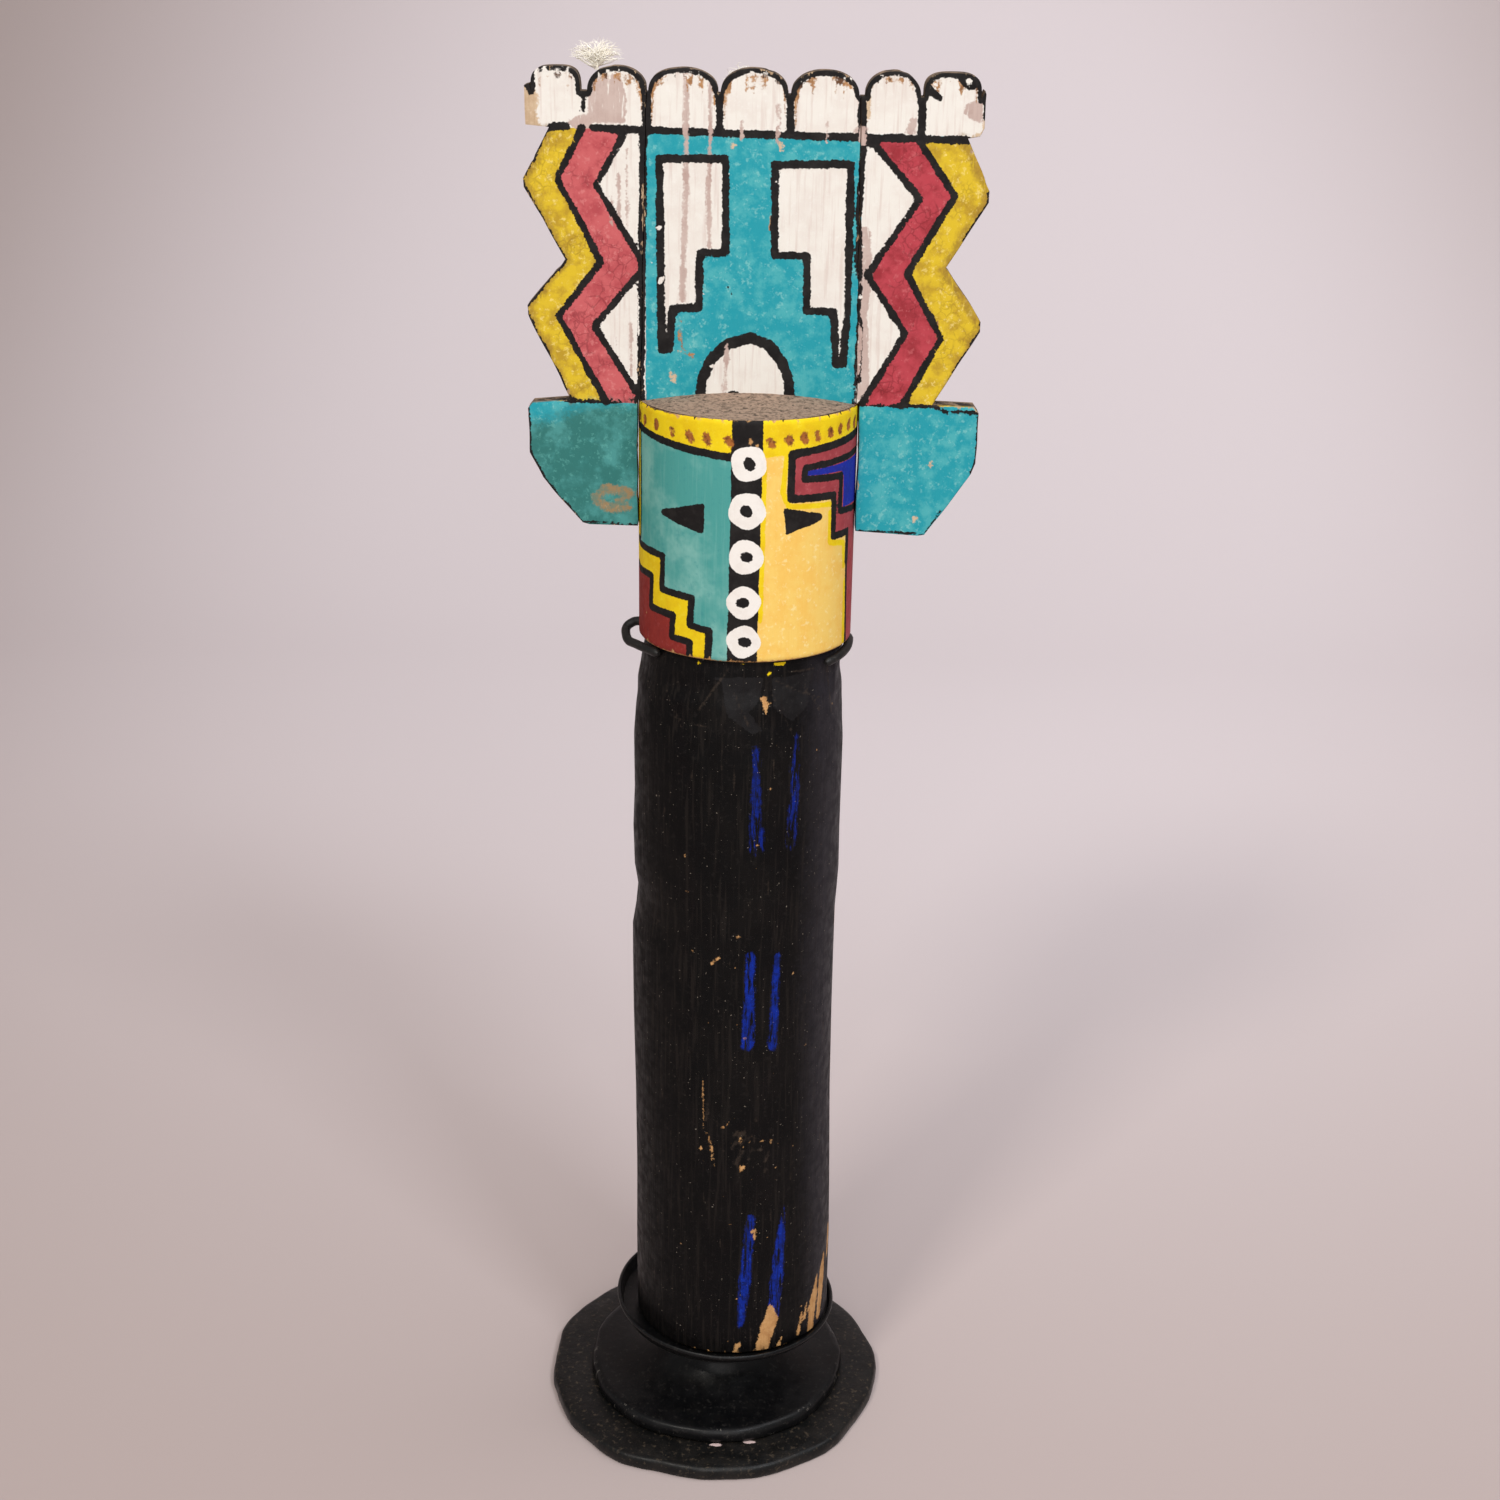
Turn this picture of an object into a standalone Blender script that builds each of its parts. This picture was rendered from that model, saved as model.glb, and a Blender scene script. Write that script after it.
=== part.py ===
"""A prayer stick doll standing in its black display stand.

Metres, +Z up, the doll facing -Y. The origin is the middle of the foot's
underside. The doll is a half-round log with a flat back, whose back slab
goes on up as the middle board of a painted headdress.
"""

import bmesh
import bpy
from math import asin, cos, pi, radians, sin
from mathutils import Matrix, Vector

# Gap kept between two pieces that touch
JOINT_GAP = 0.0003

# Stand: a wavy foot disc, a pedestal with a lipped plate, and a wire cradle
FOOT_RADIUS = 0.0556
FOOT_THICKNESS = 0.0046
FOOT_WAVE = 0.0010
FOOT_EDGE_ROUND = 0.0012
BASE_RADIUS = 0.0428
BASE_THICKNESS = 0.0046
BASE_EDGE_ROUND = 0.0012
BASE_WAVE = 0.0005
BASE_SHIFT_X = 0.0008
BASE_SHIFT_Y = -0.0005
STEM_RADIUS = 0.0170
STEM_HEIGHT = 0.0195
PLATE_RADIUS = 0.0366
PLATE_THICKNESS = 0.0036
PLATE_SHIFT_X = 0.0036
PLATE_SHIFT_Y = -0.0020
LIP_HEIGHT = 0.0032
LIP_WALL = 0.0015
LIP_TILT = 0.0016
WIRE_DIAMETER = 0.0027
HOOK_BULGE = 0.0040
HOOK_LIFT = 0.0036
HOOK_DROP = 0.0014
LEFT_HOOK_REACH = 0.41
RIGHT_HOOK_REACH = 0.45
HOOK_EASE = 0.26
HOOK_EASE_POWER = 1.5

# Doll: where it stands on the plate
DOLL_X = 0.0065
DOLL_BACK_Y = -0.0038

# Body of the log
BODY_LENGTH = 0.2337
BODY_TOP_WIDTH = 0.0628
BODY_FOOT_WIDTH = 0.0644
BODY_DEPTH = 0.0300
BODY_SHIFT = -0.0009
BODY_BOW = 0.0011
BODY_ARRIS = 0.0012
SHOULDER_HEIGHT = 0.0150
SHOULDER_FACETS = 9
FACET_DEPTH = 0.0008

# Neck groove and head
NECK_HEIGHT = 0.0060
NECK_INSET = 0.0023
HEAD_HEIGHT = 0.0698
HEAD_WIDTH = 0.0628
HEAD_DEPTH = 0.0293
HEAD_ARRIS = 0.0005

# Headdress boards
BOARD_THICKNESS = 0.0065
HEADDRESS_HEIGHT = 0.0901
MIDDLE_FOOT_WIDTH = 0.0608
MIDDLE_TOP_WIDTH = 0.0576
BOARD_SINK = 0.0060
CLOUD_ROW_HEIGHT = 0.0160
CLOUD_VALLEY = 0.0060
CLOUD_SQUARENESS = 2.6
EAR_GAP = 0.0004

# Reach of each side board from the doll's axis, left board then right board
ROW_REACH = (0.0614, 0.0625)
WING_TOP_REACH = (0.0550, 0.0581)
UPPER_TIP_REACH = (0.0623, 0.0647)
NOTCH_REACH = (0.0509, 0.0543)
LOWER_TIP_REACH = (0.0618, 0.0643)
WING_FOOT_REACH = (0.0499, 0.0518)
EAR_REACH = (0.0622, 0.0651)
EAR_CHEEK_REACH = (0.0593, 0.0634)
EAR_CUT_REACH = (0.0473, 0.0513)

# Heights on each side board, up from the top of the head
UPPER_TIP_RISE = (0.0585, 0.0574)
NOTCH_RISE = (0.0388, 0.0396)
LOWER_TIP_RISE = (0.0250, 0.0232)
TIP_BLUNTNESS = 0.0016

# Depths of each ear, down from the top of the head
EAR_SHOULDER_DROP = (0.0026, 0.0008)
EAR_SIDE_DROP = (0.0148, 0.0150)
EAR_CHEEK_DROP = (0.0205, 0.0190)
EAR_LENGTH = (0.0362, 0.0364)

# Tufts of down tied behind the cloud tops
LEFT_TUFT_X = -0.0427
LEFT_TUFT_RISE = 0.0022
LEFT_TUFT_SIZE = (0.0086, 0.0030, 0.0052)
MIDDLE_TUFT_X = -0.0030
MIDDLE_TUFT_RISE = -0.0030
MIDDLE_TUFT_SIZE = (0.0062, 0.0026, 0.0042)

# Facet counts
ARC_STEPS = 30
BODY_ROWS = 10
DISC_STEPS = 60
CLOUD_STEPS = 8
WIRE_SIDES = 10
SPAN_STEPS = 6
HOOK_SHARES = (0.12, 0.20, 0.28, 0.36)

LEFT, RIGHT = 0, 1

# Levels worked out from the sizes above
BASE_Z = FOOT_THICKNESS + JOINT_GAP
STEM_Z = BASE_Z + BASE_THICKNESS
PLATE_Z = STEM_Z + STEM_HEIGHT
PLATE_FLOOR_Z = PLATE_Z + PLATE_THICKNESS
DOLL_Z = PLATE_FLOOR_Z + JOINT_GAP
NECK_Z = DOLL_Z + BODY_LENGTH
HEAD_Z = NECK_Z + NECK_HEIGHT
HEAD_TOP_Z = HEAD_Z + HEAD_HEIGHT
CLOUD_TOP_Z = HEAD_TOP_Z + HEADDRESS_HEIGHT
CLOUD_ROW_Z = CLOUD_TOP_Z - CLOUD_ROW_HEIGHT
BOARD_FRONT_Y = DOLL_BACK_Y - BOARD_THICKNESS
WIRE_RADIUS = WIRE_DIAMETER / 2
WIRE_BACK_Y = DOLL_BACK_Y + JOINT_GAP + WIRE_RADIUS
WIRE_Z = HEAD_Z - WIRE_RADIUS - 2 * JOINT_GAP


def clear_scene():
    """Remove whatever objects the scene starts with."""
    for obj in list(bpy.data.objects):
        bpy.data.objects.remove(obj, do_unlink=True)


def make_material(name, colour, roughness, metallic=0.0):
    """Return a Principled material of one colour."""
    mat = bpy.data.materials.new(name)
    mat.use_nodes = True
    shader = mat.node_tree.nodes["Principled BSDF"]
    shader.inputs["Base Color"].default_value = (*colour, 1.0)
    shader.inputs["Roughness"].default_value = roughness
    shader.inputs["Metallic"].default_value = metallic
    return mat


def add_object(name, bm, mat, sharp=radians(35)):
    """Turn a bmesh into a named object with its faces pointing out."""
    bmesh.ops.recalc_face_normals(bm, faces=bm.faces)
    mesh = bpy.data.meshes.new(name)
    bm.to_mesh(mesh)
    bm.free()
    mesh.materials.append(mat)
    mesh.shade_smooth()
    mesh.set_sharp_from_angle(angle=sharp)
    obj = bpy.data.objects.new(name, mesh)
    bpy.context.scene.collection.objects.link(obj)
    return obj


def join_solid(target, other):
    """Union another solid into a target with an exact Boolean."""
    other.hide_render = True
    other.display_type = "WIRE"
    union = target.modifiers.new("join_" + other.name, "BOOLEAN")
    union.operation = "UNION"
    union.solver = "EXACT"
    union.object = other


def loft(rings):
    """Skin a stack of equal rings and close both ends."""
    bm = bmesh.new()
    loops = [[bm.verts.new(point) for point in ring] for ring in rings]
    for low, high in zip(loops, loops[1:]):
        for i, corner in enumerate(low):
            j = (i + 1) % len(low)
            bm.faces.new((corner, low[j], high[j], high[i]))
    bm.faces.new(loops[0])
    bm.faces.new(loops[-1])
    return bm


def extrude_outline(outline, front_y, back_y):
    """Make a board from an outline of (x, z) points."""
    bm = bmesh.new()
    face = bm.faces.new([bm.verts.new((x, front_y, z)) for x, z in outline])
    grown = bmesh.ops.extrude_face_region(bm, geom=[face])
    moved = [item for item in grown["geom"] if isinstance(item, bmesh.types.BMVert)]
    bmesh.ops.translate(bm, verts=moved, vec=(0, back_y - front_y, 0))
    return bm


def turned_ring(radius, z, centre_x, centre_y, wave=0.0):
    """Return one ring of a turned disc, with a hand-cut wave in its edge."""
    ring = []
    for i in range(DISC_STEPS):
        angle = 2 * pi * i / DISC_STEPS
        wobble = 0.55 * sin(5 * angle + 0.7) + 0.3 * sin(9 * angle + 2.1) + 0.25 * sin(14 * angle)
        r = radius + wave * wobble
        ring.append((centre_x + r * cos(angle), centre_y + r * sin(angle), z))
    return ring


def build_foot(mat):
    """Build the wavy foot disc, flat below."""
    rows = (
        (FOOT_RADIUS - FOOT_EDGE_ROUND / 2, 0.0),
        (FOOT_RADIUS, FOOT_EDGE_ROUND),
        (FOOT_RADIUS - FOOT_EDGE_ROUND / 4, FOOT_THICKNESS - FOOT_EDGE_ROUND),
        (FOOT_RADIUS - FOOT_EDGE_ROUND, FOOT_THICKNESS),
    )
    rings = [turned_ring(r, z, 0, 0, FOOT_WAVE) for r, z in rows]
    return add_object("stand_foot", loft(rings), mat)


def build_pedestal(mat):
    """Build the base disc, its concave stem and the lipped plate as one turned piece."""
    plate_inner = PLATE_RADIUS - LIP_WALL
    lip_z = PLATE_FLOOR_Z + LIP_HEIGHT
    stem_mid = (STEM_Z + PLATE_Z) / 2
    rows = (
        (BASE_RADIUS - BASE_EDGE_ROUND / 2, BASE_Z),
        (BASE_RADIUS, BASE_Z + BASE_EDGE_ROUND),
        (BASE_RADIUS - BASE_EDGE_ROUND / 4, STEM_Z - BASE_EDGE_ROUND),
        (BASE_RADIUS - BASE_EDGE_ROUND, STEM_Z),
        (STEM_RADIUS * 1.70, STEM_Z + STEM_HEIGHT * 0.05),
        (STEM_RADIUS * 1.25, STEM_Z + STEM_HEIGHT * 0.22),
        (STEM_RADIUS, stem_mid),
        (STEM_RADIUS * 1.25, PLATE_Z - STEM_HEIGHT * 0.20),
        (STEM_RADIUS * 1.75, PLATE_Z - STEM_HEIGHT * 0.04),
        (PLATE_RADIUS * 0.95, PLATE_Z + PLATE_THICKNESS * 0.35),
        (PLATE_RADIUS, PLATE_FLOOR_Z),
        (PLATE_RADIUS, lip_z - LIP_WALL * 0.3),
        (PLATE_RADIUS - LIP_WALL * 0.3, lip_z),
        (plate_inner + LIP_WALL * 0.2, lip_z - LIP_WALL * 0.1),
        (plate_inner, PLATE_FLOOR_Z),
    )
    rings = []
    for radius, z in rows:
        share = min(1.0, max(0.0, (z - STEM_Z) / (PLATE_Z - STEM_Z)))
        x = BASE_SHIFT_X + share * (PLATE_SHIFT_X - BASE_SHIFT_X)
        y = BASE_SHIFT_Y + share * (PLATE_SHIFT_Y - BASE_SHIFT_Y)
        ring = turned_ring(radius, z, x, y, BASE_WAVE if z <= STEM_Z else 0.0)
        if z > PLATE_FLOOR_Z:
            ring = [(px, py, pz - LIP_TILT * (px - x) / PLATE_RADIUS) for px, py, pz in ring]
        rings.append(ring)
    return add_object("stand_pedestal", loft(rings), mat)


def d_section(z, width, depth, shift, facet=0.0):
    """Return the half-round section of the log, its flat side at the back."""
    ring = []
    for i in range(ARC_STEPS + 1):
        angle = pi * i / ARC_STEPS
        bite = facet * abs(sin(SHOULDER_FACETS * angle))
        x = (width / 2 - bite) * cos(angle)
        y = (depth - bite) * sin(angle)
        ring.append((DOLL_X + shift - x, DOLL_BACK_Y - y, z))
    return ring


def body_shift(share):
    """Return how far the log bows to the left at a share of the body's length."""
    return BODY_SHIFT - BODY_BOW * sin(pi * share)


def log_rings():
    """Return the sections of the log from its foot to the top of the head."""
    rings = [d_section(DOLL_Z, BODY_FOOT_WIDTH - 2 * BODY_ARRIS, BODY_DEPTH - BODY_ARRIS, body_shift(0))]
    shoulder_z = NECK_Z - SHOULDER_HEIGHT
    for row in range(BODY_ROWS + 1):
        z = DOLL_Z + BODY_ARRIS + (shoulder_z - DOLL_Z - BODY_ARRIS) * row / BODY_ROWS
        share = (z - DOLL_Z) / BODY_LENGTH
        width = BODY_FOOT_WIDTH + (BODY_TOP_WIDTH - BODY_FOOT_WIDTH) * share
        rings.append(d_section(z, width, BODY_DEPTH, body_shift(share)))
    for share, inset, facet in ((0.45, 0.25, 0.7), (0.8, 0.55, 1.0), (1.0, 0.9, 0.8)):
        z = shoulder_z + SHOULDER_HEIGHT * share
        width = BODY_TOP_WIDTH - 2 * NECK_INSET * inset
        depth = BODY_DEPTH - NECK_INSET * inset
        rings.append(d_section(z, width, depth, BODY_SHIFT * (1 - share), FACET_DEPTH * facet))
    neck_width = HEAD_WIDTH - 2 * NECK_INSET
    neck_depth = HEAD_DEPTH - NECK_INSET
    rings.append(d_section(NECK_Z + NECK_HEIGHT * 0.3, neck_width, neck_depth, 0))
    rings.append(d_section(HEAD_Z - HEAD_ARRIS, neck_width, neck_depth, 0))
    rings.append(d_section(HEAD_Z, HEAD_WIDTH - 2 * HEAD_ARRIS, HEAD_DEPTH - HEAD_ARRIS, 0))
    rings.append(d_section(HEAD_Z + HEAD_ARRIS, HEAD_WIDTH, HEAD_DEPTH, 0))
    rings.append(d_section(HEAD_TOP_Z - HEAD_ARRIS, HEAD_WIDTH, HEAD_DEPTH, 0))
    rings.append(d_section(HEAD_TOP_Z, HEAD_WIDTH - 2 * HEAD_ARRIS, HEAD_DEPTH - HEAD_ARRIS, 0))
    return rings


def cloud_tops(start_x, end_x, count):
    """Return the scalloped top edge of a board, from one side to the other."""
    points = []
    width = (end_x - start_x) / count
    for cloud in range(count):
        for step in range(CLOUD_STEPS + 1):
            if cloud and step == 0:
                continue
            across = -cos(pi * step / CLOUD_STEPS)
            rise = (1 - abs(across) ** CLOUD_SQUARENESS) ** (1 / CLOUD_SQUARENESS)
            x = start_x + width * (cloud + (across + 1) / 2)
            points.append((x, CLOUD_TOP_Z - CLOUD_VALLEY * (1 - rise)))
    return points


def build_log(mat):
    """Build the log with the middle board that rises from its back slab."""
    log = add_object("doll_log", loft(log_rings()), mat)
    foot_half = MIDDLE_FOOT_WIDTH / 2
    top_half = MIDDLE_TOP_WIDTH / 2
    foot_z = HEAD_TOP_Z - BOARD_SINK
    outline = [(DOLL_X + foot_half, foot_z), (DOLL_X - foot_half, foot_z)]
    outline.append((DOLL_X - foot_half, HEAD_TOP_Z))
    outline += cloud_tops(DOLL_X - top_half, DOLL_X + top_half, 3)
    outline.append((DOLL_X + foot_half, HEAD_TOP_Z))
    board = add_object("middle_board", extrude_outline(outline, BOARD_FRONT_Y, DOLL_BACK_Y), mat)
    join_solid(log, board)
    return log


def side_outline(side):
    """Return the outline of a side board: cloud row, zigzag wing and ear."""
    upper_z = HEAD_TOP_Z + UPPER_TIP_RISE[side]
    lower_z = HEAD_TOP_Z + LOWER_TIP_RISE[side]
    ear_top = HEAD_TOP_Z - JOINT_GAP
    reach = [
        (WING_TOP_REACH[side], CLOUD_ROW_Z),
        (UPPER_TIP_REACH[side], upper_z + TIP_BLUNTNESS),
        (UPPER_TIP_REACH[side], upper_z - TIP_BLUNTNESS),
        (NOTCH_REACH[side], HEAD_TOP_Z + NOTCH_RISE[side]),
        (LOWER_TIP_REACH[side], lower_z + TIP_BLUNTNESS),
        (LOWER_TIP_REACH[side], lower_z - TIP_BLUNTNESS),
        (WING_FOOT_REACH[side], ear_top),
        (EAR_REACH[side], HEAD_TOP_Z - EAR_SHOULDER_DROP[side]),
        (EAR_REACH[side], HEAD_TOP_Z - EAR_SIDE_DROP[side]),
        (EAR_CHEEK_REACH[side], HEAD_TOP_Z - EAR_CHEEK_DROP[side]),
        (EAR_CUT_REACH[side], HEAD_TOP_Z - EAR_LENGTH[side]),
        (HEAD_WIDTH / 2 + EAR_GAP, HEAD_TOP_Z - EAR_LENGTH[side]),
        (HEAD_WIDTH / 2 + EAR_GAP, HEAD_TOP_Z + EAR_GAP),
        (MIDDLE_FOOT_WIDTH / 2 + JOINT_GAP, HEAD_TOP_Z + EAR_GAP),
    ]
    inner_top = MIDDLE_TOP_WIDTH / 2 + JOINT_GAP
    tops = cloud_tops(inner_top, ROW_REACH[side], 2)
    outline = reach + tops + [(ROW_REACH[side], CLOUD_ROW_Z)]
    sign = -1 if side == LEFT else 1
    return [(DOLL_X + sign * x, z) for x, z in outline]


def build_side_board(side, name, mat):
    """Build one side board, glued edge to edge to the middle board."""
    return add_object(name, extrude_outline(side_outline(side), BOARD_FRONT_Y, DOLL_BACK_Y), mat)


def build_tuft(name, x, rise, size, mat):
    """Build a small tuft of down lying against the back of the boards."""
    bm = bmesh.new()
    bmesh.ops.create_icosphere(bm, subdivisions=2, radius=1.0)
    bmesh.ops.scale(bm, vec=size, verts=bm.verts)
    for vert in bm.verts:
        vert.co.z += 0.12 * size[2] * sin(3.0 * vert.co.x / size[0])
    place = Vector((DOLL_X + x, DOLL_BACK_Y + JOINT_GAP + size[1], CLOUD_TOP_Z + rise))
    bmesh.ops.translate(bm, verts=bm.verts, vec=place)
    return add_object(name, bm, mat, sharp=radians(80))


def smooth_path(knots):
    """Return points on a Catmull-Rom curve through the knots."""
    knots = [Vector(knot) for knot in knots]
    ends = [2 * knots[0] - knots[1]] + knots + [2 * knots[-1] - knots[-2]]
    points = [knots[0]]
    for a, b, c, d in zip(ends, ends[1:], ends[2:], ends[3:]):
        for i in range(1, SPAN_STEPS + 1):
            t = i / SPAN_STEPS
            near = (2 * b) + (c - a) * t
            far = (2 * a - 5 * b + 4 * c - d) * t ** 2 + (3 * b - a - 3 * c + d) * t ** 3
            points.append((near + far) / 2)
    return points


def sweep(path, radius):
    """Carry a round section along a path and close its ends."""
    rings = []
    frame = (path[1] - path[0]).to_track_quat("Z", "Y")
    heading = (path[1] - path[0]).normalized()
    for i, point in enumerate(path):
        ahead = path[min(i + 1, len(path) - 1)] - path[max(i - 1, 0)]
        turn = heading.rotation_difference(ahead)
        frame = turn @ frame
        heading = ahead.normalized()
        place = Matrix.Translation(point) @ frame.to_matrix().to_4x4()
        around = [2 * pi * k / WIRE_SIDES for k in range(WIRE_SIDES)]
        rings.append([place @ Vector((radius * cos(a), radius * sin(a), 0)) for a in around])
    return loft(rings)


def neck_point(share, clearance):
    """Return a wire point beside the neck, a share of a quarter turn round from the back."""
    angle = share * pi / 2
    half = HEAD_WIDTH / 2 - NECK_INSET + WIRE_RADIUS + clearance
    deep = HEAD_DEPTH - NECK_INSET + WIRE_RADIUS + clearance
    return half * cos(angle), DOLL_BACK_Y - deep * sin(angle)


def hook_knots(sign, corner_x, bulge, reach, lift, drop):
    """Return the knots of one cradle arm, from the rod at the back to the hook's tip."""
    stand_off = WIRE_RADIUS + 2 * JOINT_GAP
    slant = stand_off * sin(pi / 4)
    level = WIRE_Z + lift
    knots = [(0.0, WIRE_BACK_Y, level), (corner_x * 0.6, WIRE_BACK_Y, level)]
    knots.append((corner_x - stand_off * 0.4, DOLL_BACK_Y + stand_off, level))
    knots.append((corner_x + slant + bulge * 0.2, DOLL_BACK_Y + slant, level - lift * 0.1))
    knots.append((corner_x + stand_off + bulge * 0.5, DOLL_BACK_Y - JOINT_GAP, level - lift * 0.5))
    for share in HOOK_SHARES:
        if share >= reach:
            break
        ease = max(0.0, 1 - (share - HOOK_SHARES[0]) / HOOK_EASE) ** HOOK_EASE_POWER
        x, y = neck_point(share, 2 * JOINT_GAP + bulge * ease)
        knots.append((x, y, WIRE_Z + lift * 0.1 * ease - drop * share / reach))
    knots.append((*neck_point(reach, 2 * JOINT_GAP), WIRE_Z - drop))
    return [(DOLL_X + sign * x, y, z) for x, y, z in knots]


def build_wire(mat):
    """Build the rod that rises behind the doll, and the two hooks round its neck."""
    neck_corner = HEAD_WIDTH / 2 - NECK_INSET
    left_knots = hook_knots(-1, HEAD_WIDTH / 2, HOOK_BULGE, LEFT_HOOK_REACH, HOOK_LIFT, 0.0)
    right_knots = hook_knots(1, neck_corner, 0.0, RIGHT_HOOK_REACH, 0.0, HOOK_DROP)
    right_knots[0] = left_knots[0]
    left = smooth_path(left_knots)
    right = smooth_path(right_knots)
    arms = add_object("cradle_arms", sweep(left[::-1] + right[1:], WIRE_RADIUS), mat)
    rod_foot = Vector((DOLL_X, WIRE_BACK_Y, PLATE_FLOOR_Z + JOINT_GAP))
    rod_top = Vector((DOLL_X, WIRE_BACK_Y, left_knots[0][2] + WIRE_RADIUS * 0.7))
    rod = add_object("stand_wire", sweep([rod_foot, rod_top], WIRE_RADIUS), mat)
    join_solid(rod, arms)
    return rod


def main():
    """Build every piece of the doll and its stand."""
    clear_scene()
    paint = make_material("painted_wood", (0.10, 0.36, 0.38), 0.75)
    lacquer = make_material("black_stand", (0.012, 0.014, 0.015), 0.38)
    steel = make_material("black_wire", (0.02, 0.02, 0.02), 0.5, 0.6)
    down = make_material("white_down", (0.72, 0.68, 0.60), 0.95)
    build_foot(lacquer)
    build_pedestal(lacquer)
    build_log(paint)
    build_side_board(LEFT, "left_wing_board", paint)
    build_side_board(RIGHT, "right_wing_board", paint)
    build_tuft("down_tuft_left", LEFT_TUFT_X, LEFT_TUFT_RISE, LEFT_TUFT_SIZE, down)
    build_tuft("down_tuft_middle", MIDDLE_TUFT_X, MIDDLE_TUFT_RISE, MIDDLE_TUFT_SIZE, down)
    build_wire(steel)


main()
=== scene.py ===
"""Looks of the prayer stick doll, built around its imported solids.

The painted figures are real-size outlines in millimetres, across from the
doll's axis (or round the log from its front) and up from the table. Each
layer of paint is stored on its mesh as a signed distance to its outlines.
"""

import logging
from abc import ABC, abstractmethod
from dataclasses import dataclass
from enum import Enum
from math import cos, pi, radians, sin
from random import Random
from typing import Callable, Sequence

import bmesh
import bpy
import numpy as np
from mathutils import Matrix, Vector, noise


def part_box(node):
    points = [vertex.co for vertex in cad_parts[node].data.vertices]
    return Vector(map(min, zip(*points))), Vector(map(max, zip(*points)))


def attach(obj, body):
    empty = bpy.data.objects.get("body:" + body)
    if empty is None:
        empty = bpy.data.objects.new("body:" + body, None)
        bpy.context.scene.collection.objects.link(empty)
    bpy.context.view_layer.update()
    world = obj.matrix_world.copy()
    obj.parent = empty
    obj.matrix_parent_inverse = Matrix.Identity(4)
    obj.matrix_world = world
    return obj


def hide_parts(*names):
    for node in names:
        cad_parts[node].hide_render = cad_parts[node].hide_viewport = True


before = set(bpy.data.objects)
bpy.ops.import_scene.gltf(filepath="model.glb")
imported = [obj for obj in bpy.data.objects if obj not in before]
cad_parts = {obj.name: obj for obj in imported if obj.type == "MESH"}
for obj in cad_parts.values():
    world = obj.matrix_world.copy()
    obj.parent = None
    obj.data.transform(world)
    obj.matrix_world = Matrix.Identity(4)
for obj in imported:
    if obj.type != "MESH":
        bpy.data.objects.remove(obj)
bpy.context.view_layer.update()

log = logging.getLogger("prayer_stick_doll")

Point = tuple[float, float]
Colour = tuple[float, float, float]

MM = 0.001


class Slot(Enum):
    """The record's material slots."""

    PAINT = "painted_wood"
    STAND = "black_stand"
    WIRE = "black_wire"
    DOWN = "white_down"


@dataclass(frozen=True)
class Datum:
    """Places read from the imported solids, in metres."""

    axis_x: float
    back_y: float
    board_y: float
    cloud_top: float
    plate_floor: float

    @classmethod
    def read(cls) -> "Datum":
        """Measure the doll's axis, back and main levels on the frame's nodes.

        Returns:
            The measured places.
        """
        seat_gap = 0.3 * MM
        left_low, left_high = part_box("left_wing_board")
        right_low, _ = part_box("right_wing_board")
        log_low, log_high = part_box("doll_log")
        return cls(
            axis_x=(left_high[0] + right_low[0]) / 2,
            back_y=log_high[1],
            board_y=left_low[1],
            cloud_top=log_high[2],
            plate_floor=log_low[2] - seat_gap,
        )


DATUM = Datum.read()


class Mark(ABC):
    """A painted mark on the plane of the painting."""

    @abstractmethod
    def distance(self, x: np.ndarray, z: np.ndarray) -> np.ndarray:
        """Measure the signed distance to the mark's edge, negative on the mark.

        Args:
            x: Places across, in millimetres.
            z: Places up, in millimetres.

        Returns:
            One distance for each place, in millimetres.
        """


@dataclass(frozen=True)
class Stroke(Mark):
    """A brushed line of one width along a row of points."""

    points: tuple[Point, ...]
    width: float
    closed: bool = False

    def distance(self, x: np.ndarray, z: np.ndarray) -> np.ndarray:
        """Measure as Mark says."""
        ends = self.points[1:] + (self.points[:1] if self.closed else ())
        best = np.full(x.shape, np.inf)
        for (x0, z0), (x1, z1) in zip(self.points, ends):
            best = np.minimum(best, segment_distance(x, z, (x0, z0), (x1, z1)))
        return best - self.width / 2


@dataclass(frozen=True)
class Patch(Mark):
    """A filled area inside a closed outline."""

    points: tuple[Point, ...]

    def distance(self, x: np.ndarray, z: np.ndarray) -> np.ndarray:
        """Measure as Mark says."""
        best = np.full(x.shape, np.inf)
        inside = np.zeros(x.shape, dtype=bool)
        for (x0, z0), (x1, z1) in zip(self.points, self.points[1:] + self.points[:1]):
            best = np.minimum(best, segment_distance(x, z, (x0, z0), (x1, z1)))
            if z0 != z1:
                crossing = (z0 > z) != (z1 > z)
                inside ^= crossing & (x < (x1 - x0) * (z - z0) / (z1 - z0) + x0)
        return np.where(inside, -best, best)


@dataclass(frozen=True)
class Spot(Mark):
    """A round dab of the brush, a little out of true."""

    centre: Point
    radius: float
    lobes: int = 3
    wobble: float = 0.05

    def distance(self, x: np.ndarray, z: np.ndarray) -> np.ndarray:
        """Measure as Mark says."""
        across = x - self.centre[0]
        up = z - self.centre[1]
        turn = np.arctan2(up, across)
        edge = self.radius * (1 + self.wobble * np.sin(self.lobes * turn + self.centre[1]))
        return np.hypot(across, up) - edge


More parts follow.
